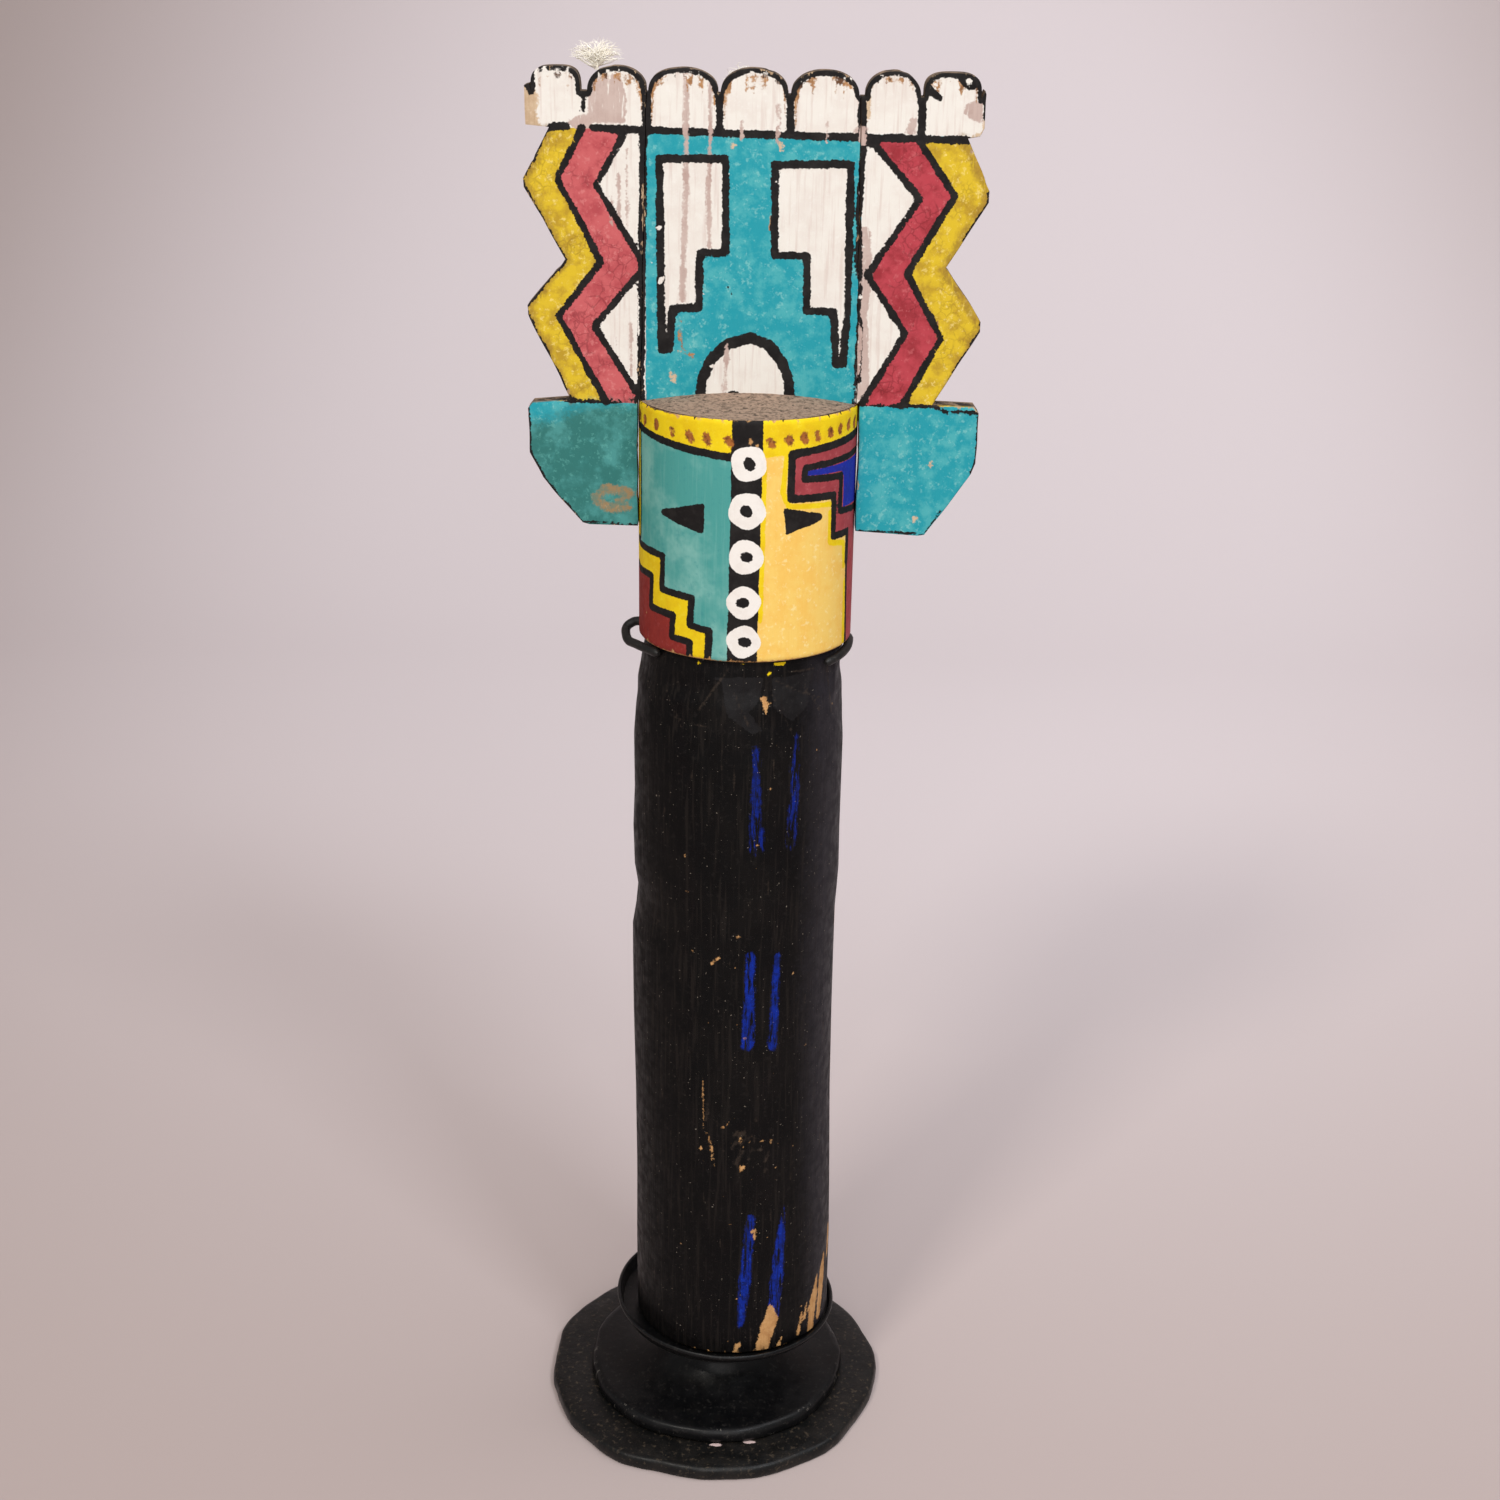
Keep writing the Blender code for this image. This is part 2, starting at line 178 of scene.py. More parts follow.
@dataclass(frozen=True)
class Taper(Mark):
    """A straight brush mark whose width changes from its start to its end."""

    start: Point
    end: Point
    widths: tuple[float, float]

    def distance(self, x: np.ndarray, z: np.ndarray) -> np.ndarray:
        """Measure as Mark says."""
        away = segment_distance(x, z, self.start, self.end)
        share = np.clip((z - self.start[1]) / (self.end[1] - self.start[1]), 0.0, 1.0)
        return away - (self.widths[0] + (self.widths[1] - self.widths[0]) * share) / 2


Marks = tuple[Mark, ...]
Painting = dict[str, Marks]


def segment_distance(x: np.ndarray, z: np.ndarray, start: Point, end: Point) -> np.ndarray:
    """Return the distance from each place to one straight piece of line.

    Args:
        x: Places across.
        z: Places up.
        start: One end of the piece.
        end: Its other end.

    Returns:
        One distance for each place.
    """
    along = np.array(end) - np.array(start)
    length = float(along @ along) or 1.0
    share = ((x - start[0]) * along[0] + (z - start[1]) * along[1]) / length
    share = np.clip(share, 0.0, 1.0)
    return np.hypot(x - start[0] - share * along[0], z - start[1] - share * along[1])


FAR = 50.0
EVERYWHERE = (-1000.0, 1000.0)


def lay_paint(
    mesh: bpy.types.Mesh, painting: Painting, x: np.ndarray, z: np.ndarray, span: Point = EVERYWHERE
) -> None:
    """Store every layer of a painting on a mesh as a signed distance.

    Args:
        mesh: The mesh to paint.
        painting: The layers' outlines.
        x: Each vertex's place across, in millimetres.
        z: Each vertex's place up, in millimetres.
        span: The heights between which the painting lies, in millimetres.
    """
    within = (z >= span[0]) & (z <= span[1])
    for layer, shapes in painting.items():
        nearest = np.full(x.shape, FAR)
        for shape in shapes:
            nearest[within] = np.minimum(nearest[within], shape.distance(x[within], z[within]))
        store(mesh, layer, nearest)


def store(mesh: bpy.types.Mesh, name: str, values: np.ndarray) -> None:
    """Store one number for each vertex under a name."""
    attribute = mesh.attributes.new(name, "FLOAT", "POINT")
    attribute.data.foreach_set("value", values.astype(np.float32))


def read_places(mesh: bpy.types.Mesh) -> np.ndarray:
    """Return a mesh's vertices as rows of x, y, z."""
    flat = np.empty(len(mesh.vertices) * 3, dtype=np.float32)
    mesh.vertices.foreach_get("co", flat)
    return flat.reshape(-1, 3).astype(float)


def write_places(mesh: bpy.types.Mesh, places: np.ndarray) -> None:
    """Move a mesh's vertices to rows of x, y, z."""
    mesh.vertices.foreach_set("co", places.astype(np.float32).ravel())
    mesh.update()


def ripple(places: np.ndarray, frequency: Sequence[float], seed: float) -> np.ndarray:
    """Return smooth noise between -1 and 1 at each place.

    Args:
        places: Rows of x, y, z in metres.
        frequency: Waves for each metre along x, y and z.
        seed: A shift that gives each use its own pattern.

    Returns:
        One value for each place.
    """
    scaled = places * np.array(frequency) + seed
    return np.array([noise.noise(Vector(row)) for row in scaled])


@dataclass(frozen=True)
class Unevenness:
    """The marks that a tool leaves: height in millimetres, waves for each metre, and seed."""

    height: float
    waves: tuple[float, float, float]
    seed: float

    def at(self, places: np.ndarray) -> np.ndarray:
        """Return the marks' height at each place, in millimetres."""
        return self.height * ripple(places, self.waves, self.seed)


KNIFE_SWEEPS = Unevenness(0.28, (26.0, 0.0, 9.0), 3.1)
KNIFE_LINES = Unevenness(0.10, (420.0, 0.0, 22.0), 8.3)
FOOT_CUTS = Unevenness(0.5, (260.0, 0.0, 180.0), 5.7)
SAW_LINES = Unevenness(0.10, (700.0, 700.0, 0.0), 1.9)
SAW_GRIT = Unevenness(0.10, (1900.0, 900.0, 0.0), 6.2)
BOARD_WANDER = Unevenness(0.30, (130.0, 0.0, 130.0), 4.4)
BOARD_NOTCHES = Unevenness(1.0, (420.0, 0.0, 420.0), 9.1)
BOARD_GRAIN = Unevenness(0.07, (700.0, 0.0, 24.0), 2.2)
BOARD_SWELL = Unevenness(0.14, (45.0, 0.0, 20.0), 6.0)
RIM_NICKS = Unevenness(0.30, (190.0, 190.0, 60.0), 7.7)


def slice_mesh(bm: bmesh.types.BMesh, axis: int, cuts: Sequence[float]) -> None:
    """Cut a whole mesh by planes across one axis.

    Args:
        bm: The shape to cut.
        axis: 0, 1 or 2 for x, y or z.
        cuts: The planes' places along the axis, in metres.
    """
    normal = [0.0, 0.0, 0.0]
    normal[axis] = 1.0
    for cut in cuts:
        place = [0.0, 0.0, 0.0]
        place[axis] = cut
        whole = bm.verts[:] + bm.edges[:] + bm.faces[:]
        bmesh.ops.bisect_plane(bm, geom=whole, dist=1e-6, plane_co=place, plane_no=normal)


ARC_STEPS = 110


def half_circle(bm: bmesh.types.BMesh) -> tuple[bmesh.types.BMVert, bmesh.types.BMVert]:
    """Draw a half circle of unit radius, bowed towards the front.

    Args:
        bm: The bmesh to draw in.

    Returns:
        Its left end and its right end.
    """
    first = bm.verts.new((-1.0, 0.0, 0.0))
    spun = bmesh.ops.spin(
        bm, geom=[first], cent=(0, 0, 0), axis=(0, 0, 1), angle=pi, steps=ARC_STEPS, use_duplicate=False
    )
    last = next(item for item in spun["geom_last"] if isinstance(item, bmesh.types.BMVert))
    return first, last


def between(low: float, high: float, step: float) -> list[float]:
    """Return even cuts inside a stretch, about one step apart."""
    count = max(1, round((high - low) / step))
    return [low + (high - low) * i / count for i in range(1, count)]


def to_mesh(name: str, bm: bmesh.types.BMesh, closed: bool = True) -> bpy.types.Mesh:
    """Turn a bmesh into a mesh and free it.

    Args:
        name: The mesh's name.
        bm: The shape.
        closed: Whether it is a closed shell, whose faces are turned outwards first.

    Returns:
        The new mesh.
    """
    if closed:
        bmesh.ops.recalc_face_normals(bm, faces=bm.faces)
    mesh = bpy.data.meshes.new(name)
    bm.to_mesh(mesh)
    bm.free()
    return mesh


def new_verts(made: dict[str, list]) -> list[bmesh.types.BMVert]:
    """Return the vertices among an extrusion's new parts."""
    return [item for item in made["geom"] if isinstance(item, bmesh.types.BMVert)]


def hold(name: str, data: bpy.types.ID) -> bpy.types.Object:
    """Return a new object of the scene that holds a mesh, a curve, a light or a camera."""
    holder = bpy.data.objects.new(name, data)
    bpy.context.scene.collection.objects.link(holder)
    return holder


def finish_mesh(
    name: str, mesh: bpy.types.Mesh, nodes: Sequence[str], sharp: float
) -> bpy.types.Object:
    """Place a mesh in the scene as a riding piece.

    Args:
        name: The piece's name.
        mesh: Its finished mesh.
        nodes: The solids that it stands for.
        sharp: The angle past which an edge shows as an edge.

    Returns:
        The new object, at the origin.
    """
    mesh.shade_smooth()
    mesh.set_sharp_from_angle(angle=sharp)
    piece = hold(name, mesh)
    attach(piece, "root")
    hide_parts(*nodes)
    log.info("%s: %d faces", name, len(mesh.polygons))
    return piece


MIX_INPUTS = (0, 6, 7)
MIX_OUTPUT = 2


class Sketch:
    """Shorthand for wiring the nodes of one material or node group."""

    def __init__(self, tree: bpy.types.NodeTree) -> None:
        """Start drawing in a node tree."""
        self.tree = tree

    def add(self, kind: str, **settings: object) -> bpy.types.Node:
        """Add a node and set its plain properties.

        Args:
            kind: The node's type.
            settings: Its properties by name.

        Returns:
            The node.
        """
        node = self.tree.nodes.new(kind)
        for key, value in settings.items():
            setattr(node, key, value)
        return node

    def feed(self, socket: bpy.types.NodeSocket, value: object) -> None:
        """Link a socket to another, or give it a plain value.

        Args:
            socket: The input to feed.
            value: An output socket, a colour or a number.
        """
        if isinstance(value, bpy.types.NodeSocket):
            self.tree.links.new(value, socket)
        elif isinstance(value, tuple) and len(value) == 3 and socket.type == "RGBA":
            socket.default_value = (*value, 1.0)
        else:
            socket.default_value = value

    def math(self, operation: str, first: object, second: object, clamp: bool = False) -> object:
        """Work out a number from two others.

        Args:
            operation: The Math node's operation.
            first: A socket or a number.
            second: A socket or a number.
            clamp: Whether the result is kept between 0 and 1.

        Returns:
            The result's socket.
        """
        node = self.add("ShaderNodeMath", operation=operation, use_clamp=clamp)
        self.feed(node.inputs[0], first)
        self.feed(node.inputs[1], second)
        return node.outputs[0]

    def mix(self, mask: object, below: object, above: object) -> object:
        """Lay one colour over another through a mask.

        Args:
            mask: Where the upper colour shows, from 0 to 1.
            below: The lower colour.
            above: The upper colour.

        Returns:
            The mixed colour's socket.
        """
        node = self.add("ShaderNodeMix", data_type="RGBA")
        factor, first_colour, second_colour = (node.inputs[i] for i in MIX_INPUTS)
        self.feed(factor, mask)
        self.feed(first_colour, below)
        self.feed(second_colour, above)
        return node.outputs[MIX_OUTPUT]

    def remap(
        self, value: object, low: object, high: object, start: float = 0.0, end: float = 1.0
    ) -> object:
        """Ease a value from one range into another.

        Args:
            value: The value.
            low: Where its range starts.
            high: Where its range ends.
            start: The result at the range's start.
            end: The result at its end.

        Returns:
            The eased value's socket.
        """
        node = self.add("ShaderNodeMapRange", interpolation_type="SMOOTHSTEP")
        for socket, given in zip(node.inputs, (value, low, high, start, end)):
            self.feed(socket, given)
        return node.outputs[0]

    def stretch(self, vector: object, scale: tuple[float, float, float]) -> object:
        """Scale a vector along its three axes.

        Args:
            vector: The vector's socket.
            scale: One factor for each axis.

        Returns:
            The scaled vector's socket.
        """
        node = self.add("ShaderNodeMapping")
        self.feed(node.inputs["Vector"], vector)
        node.inputs["Scale"].default_value = scale
        return node.outputs[0]

    def noise(self, vector: object, scale: object, detail: float = 3.0, rough: float = 0.55) -> object:
        """Add noise around a half.

        Args:
            vector: Where the noise is read.
            scale: Its waves for each metre.
            detail: How many finer layers it has.
            rough: How strong each finer layer is.

        Returns:
            The noise value's socket.
        """
        node = self.add("ShaderNodeTexNoise")
        self.feed(node.inputs["Vector"], vector)
        self.feed(node.inputs["Scale"], scale)
        node.inputs["Detail"].default_value = detail
        node.inputs["Roughness"].default_value = rough
        return node.outputs["Fac"]

    def here(self) -> object:
        """Return the Object coordinates."""
        return self.add("ShaderNodeTexCoord").outputs["Object"]

    def attribute(self, name: str) -> object:
        """Return a stored number of the mesh."""
        return self.add("ShaderNodeAttribute", attribute_name=name).outputs["Fac"]

    def place(self, group: bpy.types.NodeTree, output: str, **inputs: object) -> bpy.types.NodeSocket:
        """Add a node group and feed its named inputs.

        Args:
            group: The group.
            output: Which of its outputs is wanted.
            inputs: Sockets or values by input name.

        Returns:
            The wanted output's socket.
        """
        node = self.add("ShaderNodeGroup", node_tree=group)
        for key, value in inputs.items():
            self.feed(node.inputs[key], value)
        return node.outputs[output]


def start_material(name: str) -> tuple[bpy.types.Material, Sketch, bpy.types.Node]:
    """Return a new node material, its sketch and its shader."""
    material = bpy.data.materials.new(name)
    material.use_nodes = True
    return material, Sketch(material.node_tree), material.node_tree.nodes["Principled BSDF"]


def open_group(name: str, inputs: dict[str, str], outputs: dict[str, str]) -> tuple[Sketch, object, object]:
    """Start a shader node group.

    Args:
        name: The group's name.
        inputs: Socket kinds by input name.
        outputs: Socket kinds by output name.

    Returns:
        The group's sketch, its input node's sockets and its output node's sockets.
    """
    tree = bpy.data.node_groups.new(name, "ShaderNodeTree")
    for key, kind in inputs.items():
        tree.interface.new_socket(name=key, in_out="INPUT", socket_type=kind)
    for key, kind in outputs.items():
        tree.interface.new_socket(name=key, in_out="OUTPUT", socket_type=kind)
    sketch = Sketch(tree)
    entry = sketch.add("NodeGroupInput")
    leave = sketch.add("NodeGroupOutput")
    return sketch, entry.outputs, leave.inputs


FLOAT, COLOUR, VECTOR = "NodeSocketFloat", "NodeSocketColor", "NodeSocketVector"


class Effects:
    """The shared node groups, each built once."""

    def __init__(self) -> None:
        """Build every group."""
        self.edge = self.build_edge()
        self.pigment = self.build_pigment()
        self.timber = self.build_timber()
        self.flakes = self.build_flakes()
        self.grain = self.build_grain()
        self.dust = self.build_dust()
        self.crackle = self.build_crackle()

    @staticmethod
    def build_edge() -> bpy.types.NodeTree:
        """Build the mask of a painted shape, with the brush's unsteady edge.

        Returns:
            The node group.
        """
        kinds = {"Vector": VECTOR, "Distance": FLOAT, "Wobble": FLOAT, "Softness": FLOAT}
        s, given, out = open_group("painted_edge", kinds, {"Mask": FLOAT})
        coarse = s.math("SUBTRACT", s.noise(given["Vector"], 260.0, 2.0), 0.5)
        fine = s.math("SUBTRACT", s.noise(given["Vector"], 1500.0, 2.0), 0.5)
        shake = s.math("ADD", coarse, s.math("MULTIPLY", fine, 0.9))
        moved = s.math("ADD", given["Distance"], s.math("MULTIPLY", shake, given["Wobble"]))
        soft = given["Softness"]
        s.feed(out["Mask"], s.remap(moved, soft, s.math("MULTIPLY", soft, -1.0)))
        return s.tree

    @staticmethod
    def build_pigment() -> bpy.types.NodeTree:
        """Build an earth colour with blotches, fine speckle and upright brush streaks.

        Returns:
            The node group.
        """
        kinds = {"Vector": VECTOR, "Tone": COLOUR, "Blotch": COLOUR, "Fleck": COLOUR}
        kinds |= {"Scale": FLOAT, "Blotching": FLOAT, "Flecking": FLOAT, "Streaks": FLOAT}
        s, given, out = open_group("mottled_pigment", kinds, {"Color": COLOUR})
        place = given["Vector"]
        cloudy = s.remap(s.noise(place, given["Scale"], 4.0, 0.65), 0.42, 0.66)
        base = s.mix(s.math("MULTIPLY", cloudy, given["Blotching"]), given["Tone"], given["Blotch"])
        speckle = s.remap(s.noise(place, 620.0, 3.0, 0.7), 0.56, 0.68)
        base = s.mix(s.math("MULTIPLY", speckle, given["Flecking"]), base, given["Fleck"])
        upright = s.stretch(place, (1.0, 1.0, 0.05))
        streak = s.remap(s.noise(upright, 900.0, 3.0, 0.6), 0.50, 0.68)
        base = s.mix(s.math("MULTIPLY", streak, given["Streaks"]), base, given["Blotch"])
        s.feed(out["Color"], base)
        return s.tree

    @staticmethod
    def build_timber() -> bpy.types.NodeTree:
        """Build bare wood with upright grain.

        Returns:
            The node group.
        """
        kinds = {"Vector": VECTOR, "Light": COLOUR, "Dark": COLOUR}
        s, given, out = open_group("bare_timber", kinds, {"Color": COLOUR})
        upright = s.stretch(given["Vector"], (1.0, 1.0, 0.07))
        lines = s.remap(s.noise(upright, 700.0, 4.0, 0.6), 0.38, 0.66)
        broad = s.remap(s.noise(upright, 120.0, 2.0), 0.35, 0.7, 0.0, 0.6)
        s.feed(out["Color"], s.mix(s.math("MAXIMUM", lines, broad), given["Light"], given["Dark"]))
        return s.tree

    @staticmethod
    def build_flakes() -> bpy.types.NodeTree:
        """Build the mask of small flakes where paint has left the wood.

        Returns:
            The node group.
        """
        kinds = {"Vector": VECTOR, "Share": FLOAT, "Scale": FLOAT}
        s, given, out = open_group("paint_flakes", kinds, {"Mask": FLOAT})
        upright = s.stretch(given["Vector"], (1.0, 1.0, 0.35))
        flake = s.noise(upright, given["Scale"], 5.0, 0.7)
        limit = s.math("SUBTRACT", 0.80, given["Share"])
        s.feed(out["Mask"], s.remap(flake, limit, s.math("ADD", limit, 0.02)))
        return s.tree

    @staticmethod
    def build_grain() -> bpy.types.NodeTree:
        """Build the height of upright grain and brushwork under the paint.

        Returns:
            The node group.
        """
        s, given, out = open_group("grain_relief", {"Vector": VECTOR}, {"Height": FLOAT})
        upright = s.stretch(given["Vector"], (1.0, 1.0, 0.06))
        lines = s.noise(upright, 1100.0, 4.0, 0.6)
        lumps = s.noise(given["Vector"], 420.0, 3.0, 0.6)
        s.feed(out["Height"], s.math("ADD", s.math("MULTIPLY", lines, 0.6), s.math("MULTIPLY", lumps, 0.4)))
        return s.tree

    @staticmethod
    def build_dust() -> bpy.types.NodeTree:
        """Build the mask of pale dust specks.

        Returns:
            The node group.
        """
        kinds = {"Vector": VECTOR, "Share": FLOAT}
        s, given, out = open_group("dust_specks", kinds, {"Mask": FLOAT})
        grit = s.noise(given["Vector"], 1300.0, 2.0, 0.5)
        limit = s.math("SUBTRACT", 0.84, given["Share"])
        s.feed(out["Mask"], s.remap(grit, limit, s.math("ADD", limit, 0.05)))
        return s.tree

    @staticmethod
    def build_crackle() -> bpy.types.NodeTree:
        """Build the mask of the fine cracks of thick old paint.

        Returns:
            The node group.
        """
        s, given, out = open_group("paint_crackle", {"Vector": VECTOR, "Scale": FLOAT}, {"Mask": FLOAT})
        cells = s.add("ShaderNodeTexVoronoi", feature="DISTANCE_TO_EDGE")
        bent = s.add("ShaderNodeVectorMath", operation="ADD")
        s.feed(bent.inputs[0], given["Vector"])
        s.feed(bent.inputs[1], s.math("MULTIPLY", s.noise(given["Vector"], 320.0, 3.0), 0.004))
        s.feed(cells.inputs["Vector"], bent.outputs["Vector"])
        s.feed(cells.inputs["Scale"], given["Scale"])
        lines = s.remap(cells.outputs["Distance"], 0.09, 0.0)
        patches = s.remap(s.noise(given["Vector"], 90.0, 3.0), 0.46, 0.60)
        s.feed(out["Mask"], s.math("MULTIPLY", lines, patches))
        return s.tree


CRACKLE_SCALE = 330.0
CRACK_SHADE = 0.55


@dataclass(frozen=True)
class Pigment:
    """One paint: its tone, what mottles it, and how much."""

    tone: Colour
    blotch: Colour
    fleck: Colour
    scale: float = 160.0
    blotching: float = 0.6
    flecking: float = 0.3
    streaks: float = 0.0
    crackle: float = 0.0

    def lay(self, s: Sketch, effects: Effects, place: object) -> object:
        """Draw the paint.

        Args:
            s: The material's sketch.
            effects: The shared node groups.
            place: The Object coordinates.

        Returns:
            The socket of its varied colour.
        """
        colour = s.place(
            effects.pigment, "Color", Vector=place, Tone=self.tone, Blotch=self.blotch, Fleck=self.fleck,
            Scale=self.scale, Blotching=self.blotching, Flecking=self.flecking, Streaks=self.streaks,
        )
        if not self.crackle:
            return colour
        cracks = s.place(effects.crackle, "Mask", Vector=place, Scale=CRACKLE_SCALE)
        crack_tone = tuple(CRACK_SHADE * part for part in self.blotch)
        return s.mix(s.math("MULTIPLY", cracks, self.crackle), colour, crack_tone)


@dataclass(frozen=True)
class Coat:
    """A layer of paint: the stored outline it fills, its pigment and its brush edge."""

    layer: str
    pigment: Pigment
    wobble: float = 0.5
    softness: float = 0.12
    dryness: float = 0.0
    strength: float = 1.0

    def mask(self, s: Sketch, effects: Effects, place: object) -> object:
        """Draw where the coat covers what is under it.

        Args:
            s: The material's sketch.
            effects: The shared node groups.
            place: The Object coordinates.

        Returns:
            The mask's socket.
        """
        edge = s.place(
            effects.edge, "Mask", Vector=place, Distance=s.attribute(self.layer), Wobble=self.wobble,
            Softness=self.softness,
        )
        if self.dryness:
            bristles = s.noise(s.stretch(place, (1.0, 1.0, 0.12)), 1000.0, 4.0, 0.7)
            middle = 0.32 + 0.28 * self.dryness
            edge = s.math("MULTIPLY", edge, s.remap(bristles, middle - 0.06, middle + 0.06))
        return s.math("MULTIPLY", edge, self.strength) if self.strength < 1.0 else edge


TURQUOISE = Pigment((0.016, 0.300, 0.365), (0.085, 0.42, 0.44), (0.22, 0.54, 0.52), 210.0, 0.75, 0.55)
# Darker green over the whole left ear: partly its own paint, partly painted shade beside the head.
EAR_GREEN_AND_SHADE = Pigment((0.030, 0.165, 0.150), (0.075, 0.30, 0.285), (0.12, 0.40, 0.36), 150.0, 0.8, 0.4)
FACE_GREEN = Pigment(
    (0.068, 0.315, 0.290), (0.21, 0.47, 0.42), (0.035, 0.23, 0.25), 52.0, 0.95, 0.3, 0.2,
)
FACE_GOLD = Pigment((0.86, 0.58, 0.145), (0.84, 0.48, 0.09), (0.90, 0.74, 0.36), 150.0, 0.6, 0.6, 0.25)
PALE_WOOD = Pigment((0.60, 0.45, 0.30), (0.40, 0.26, 0.15), (0.72, 0.58, 0.42), 260.0, 0.5, 0.4, 0.6)
DRIP_BROWN = Pigment((0.44, 0.23, 0.10), (0.20, 0.09, 0.04), (0.64, 0.42, 0.24), 420.0, 0.8, 0.4, 0.4)
SOOT_BROWN = Pigment(
    (0.055, 0.028, 0.018), (0.16, 0.07, 0.03), (0.02, 0.015, 0.012), 500.0, 0.7, 0.4, 0.4,
)
GRIME_BROWN = Pigment((0.30, 0.17, 0.03), (0.12, 0.06, 0.02), (0.45, 0.28, 0.05), 300.0, 0.7, 0.4, 0.2)
# Painted sheen: a lighter blue-grey laid down the black body's right side, standing for the lamps'
# reflection there.
BODY_PAINTED_SHEEN = Pigment(
    (0.028, 0.025, 0.031), (0.015, 0.013, 0.017), (0.042, 0.038, 0.047), 200.0, 0.5, 0.4, 0.6,
)
FACET_GREY = Pigment(
    (0.019, 0.018, 0.019), (0.009, 0.008, 0.009), (0.036, 0.034, 0.035), 260.0, 0.6, 0.4, 0.7,
)
BRIGHT_YELLOW = Pigment((0.82, 0.60, 0.006), (0.66, 0.38, 0.006), (0.88, 0.72, 0.06), 150.0, 0.45, 0.3)
WING_YELLOW = Pigment(
    (0.66, 0.46, 0.022), (0.32, 0.17, 0.022), (0.88, 0.72, 0.26), 190.0, 0.6, 0.5, 0.0, 0.35,
)
ROSE_RED = Pigment(
    (0.54, 0.112, 0.118), (0.36, 0.042, 0.054), (0.66, 0.23, 0.22), 180.0, 0.65, 0.5, 0.0, 0.55,
)
DEEP_RED = Pigment(
    (0.45, 0.052, 0.070), (0.25, 0.020, 0.027), (0.58, 0.14, 0.15), 170.0, 0.75, 0.45, 0.0, 0.5,
)
KEY_MAROON = Pigment(
    (0.25, 0.026, 0.020), (0.17, 0.014, 0.014), (0.40, 0.09, 0.09), 220.0, 0.5, 0.3, 0.2,
)
KEY_WINE = Pigment((0.36, 0.055, 0.065), (0.24, 0.028, 0.036), (0.50, 0.13, 0.14), 220.0, 0.5, 0.4, 0.2)
CHALK_WHITE = Pigment(
    (0.77, 0.735, 0.675), (0.60, 0.48, 0.43), (0.82, 0.80, 0.76), 130.0, 0.22, 0.3, 0.45,
)
RING_WHITE = Pigment((0.83, 0.79, 0.74), (0.66, 0.59, 0.53), (0.86, 0.84, 0.81), 200.0, 0.3, 0.3)
BRUSH_BLACK = Pigment(
    (0.008, 0.0065, 0.0065), (0.022, 0.019, 0.018), (0.035, 0.03, 0.028), 220.0, 0.5, 0.25,
)
BODY_BLACK = Pigment(
    (0.0030, 0.0027, 0.0029), (0.0125, 0.0100, 0.0088), (0.018, 0.015, 0.014), 50.0, 0.22, 0.35, 0.8,
)
TRACK_BLUE = Pigment(
    (0.004, 0.022, 0.27), (0.004, 0.008, 0.05), (0.010, 0.055, 0.46), 420.0, 0.7, 0.5, 0.6,
)
KEY_BLUE = Pigment((0.012, 0.022, 0.33), (0.012, 0.018, 0.16), (0.05, 0.07, 0.46), 220.0, 0.5, 0.3)
PINK_WASH = Pigment((0.46, 0.33, 0.29), (0.58, 0.46, 0.41), (0.34, 0.22, 0.18), 160.0, 0.5, 0.3, 0.4)
RUST_DOT = Pigment((0.36, 0.12, 0.024), (0.11, 0.035, 0.012), (0.58, 0.30, 0.10), 700.0, 0.9, 0.4)
BARE_TAN = Pigment((0.56, 0.31, 0.125), (0.36, 0.17, 0.06), (0.68, 0.45, 0.22), 300.0, 0.5, 0.3, 0.6)
RUBBED_BROWN = Pigment((0.30, 0.20, 0.10), (0.10, 0.20, 0.16), (0.42, 0.30, 0.17), 420.0, 0.8, 0.5, 0.5)
SCUFF_BROWN = Pigment(
    (0.050, 0.036, 0.027), (0.016, 0.012, 0.010), (0.10, 0.075, 0.055), 300.0, 0.7, 0.4, 0.5,
)

WOOD_LIGHT: Colour = (0.47, 0.33, 0.20)
WOOD_DARK: Colour = (0.27, 0.17, 0.095)


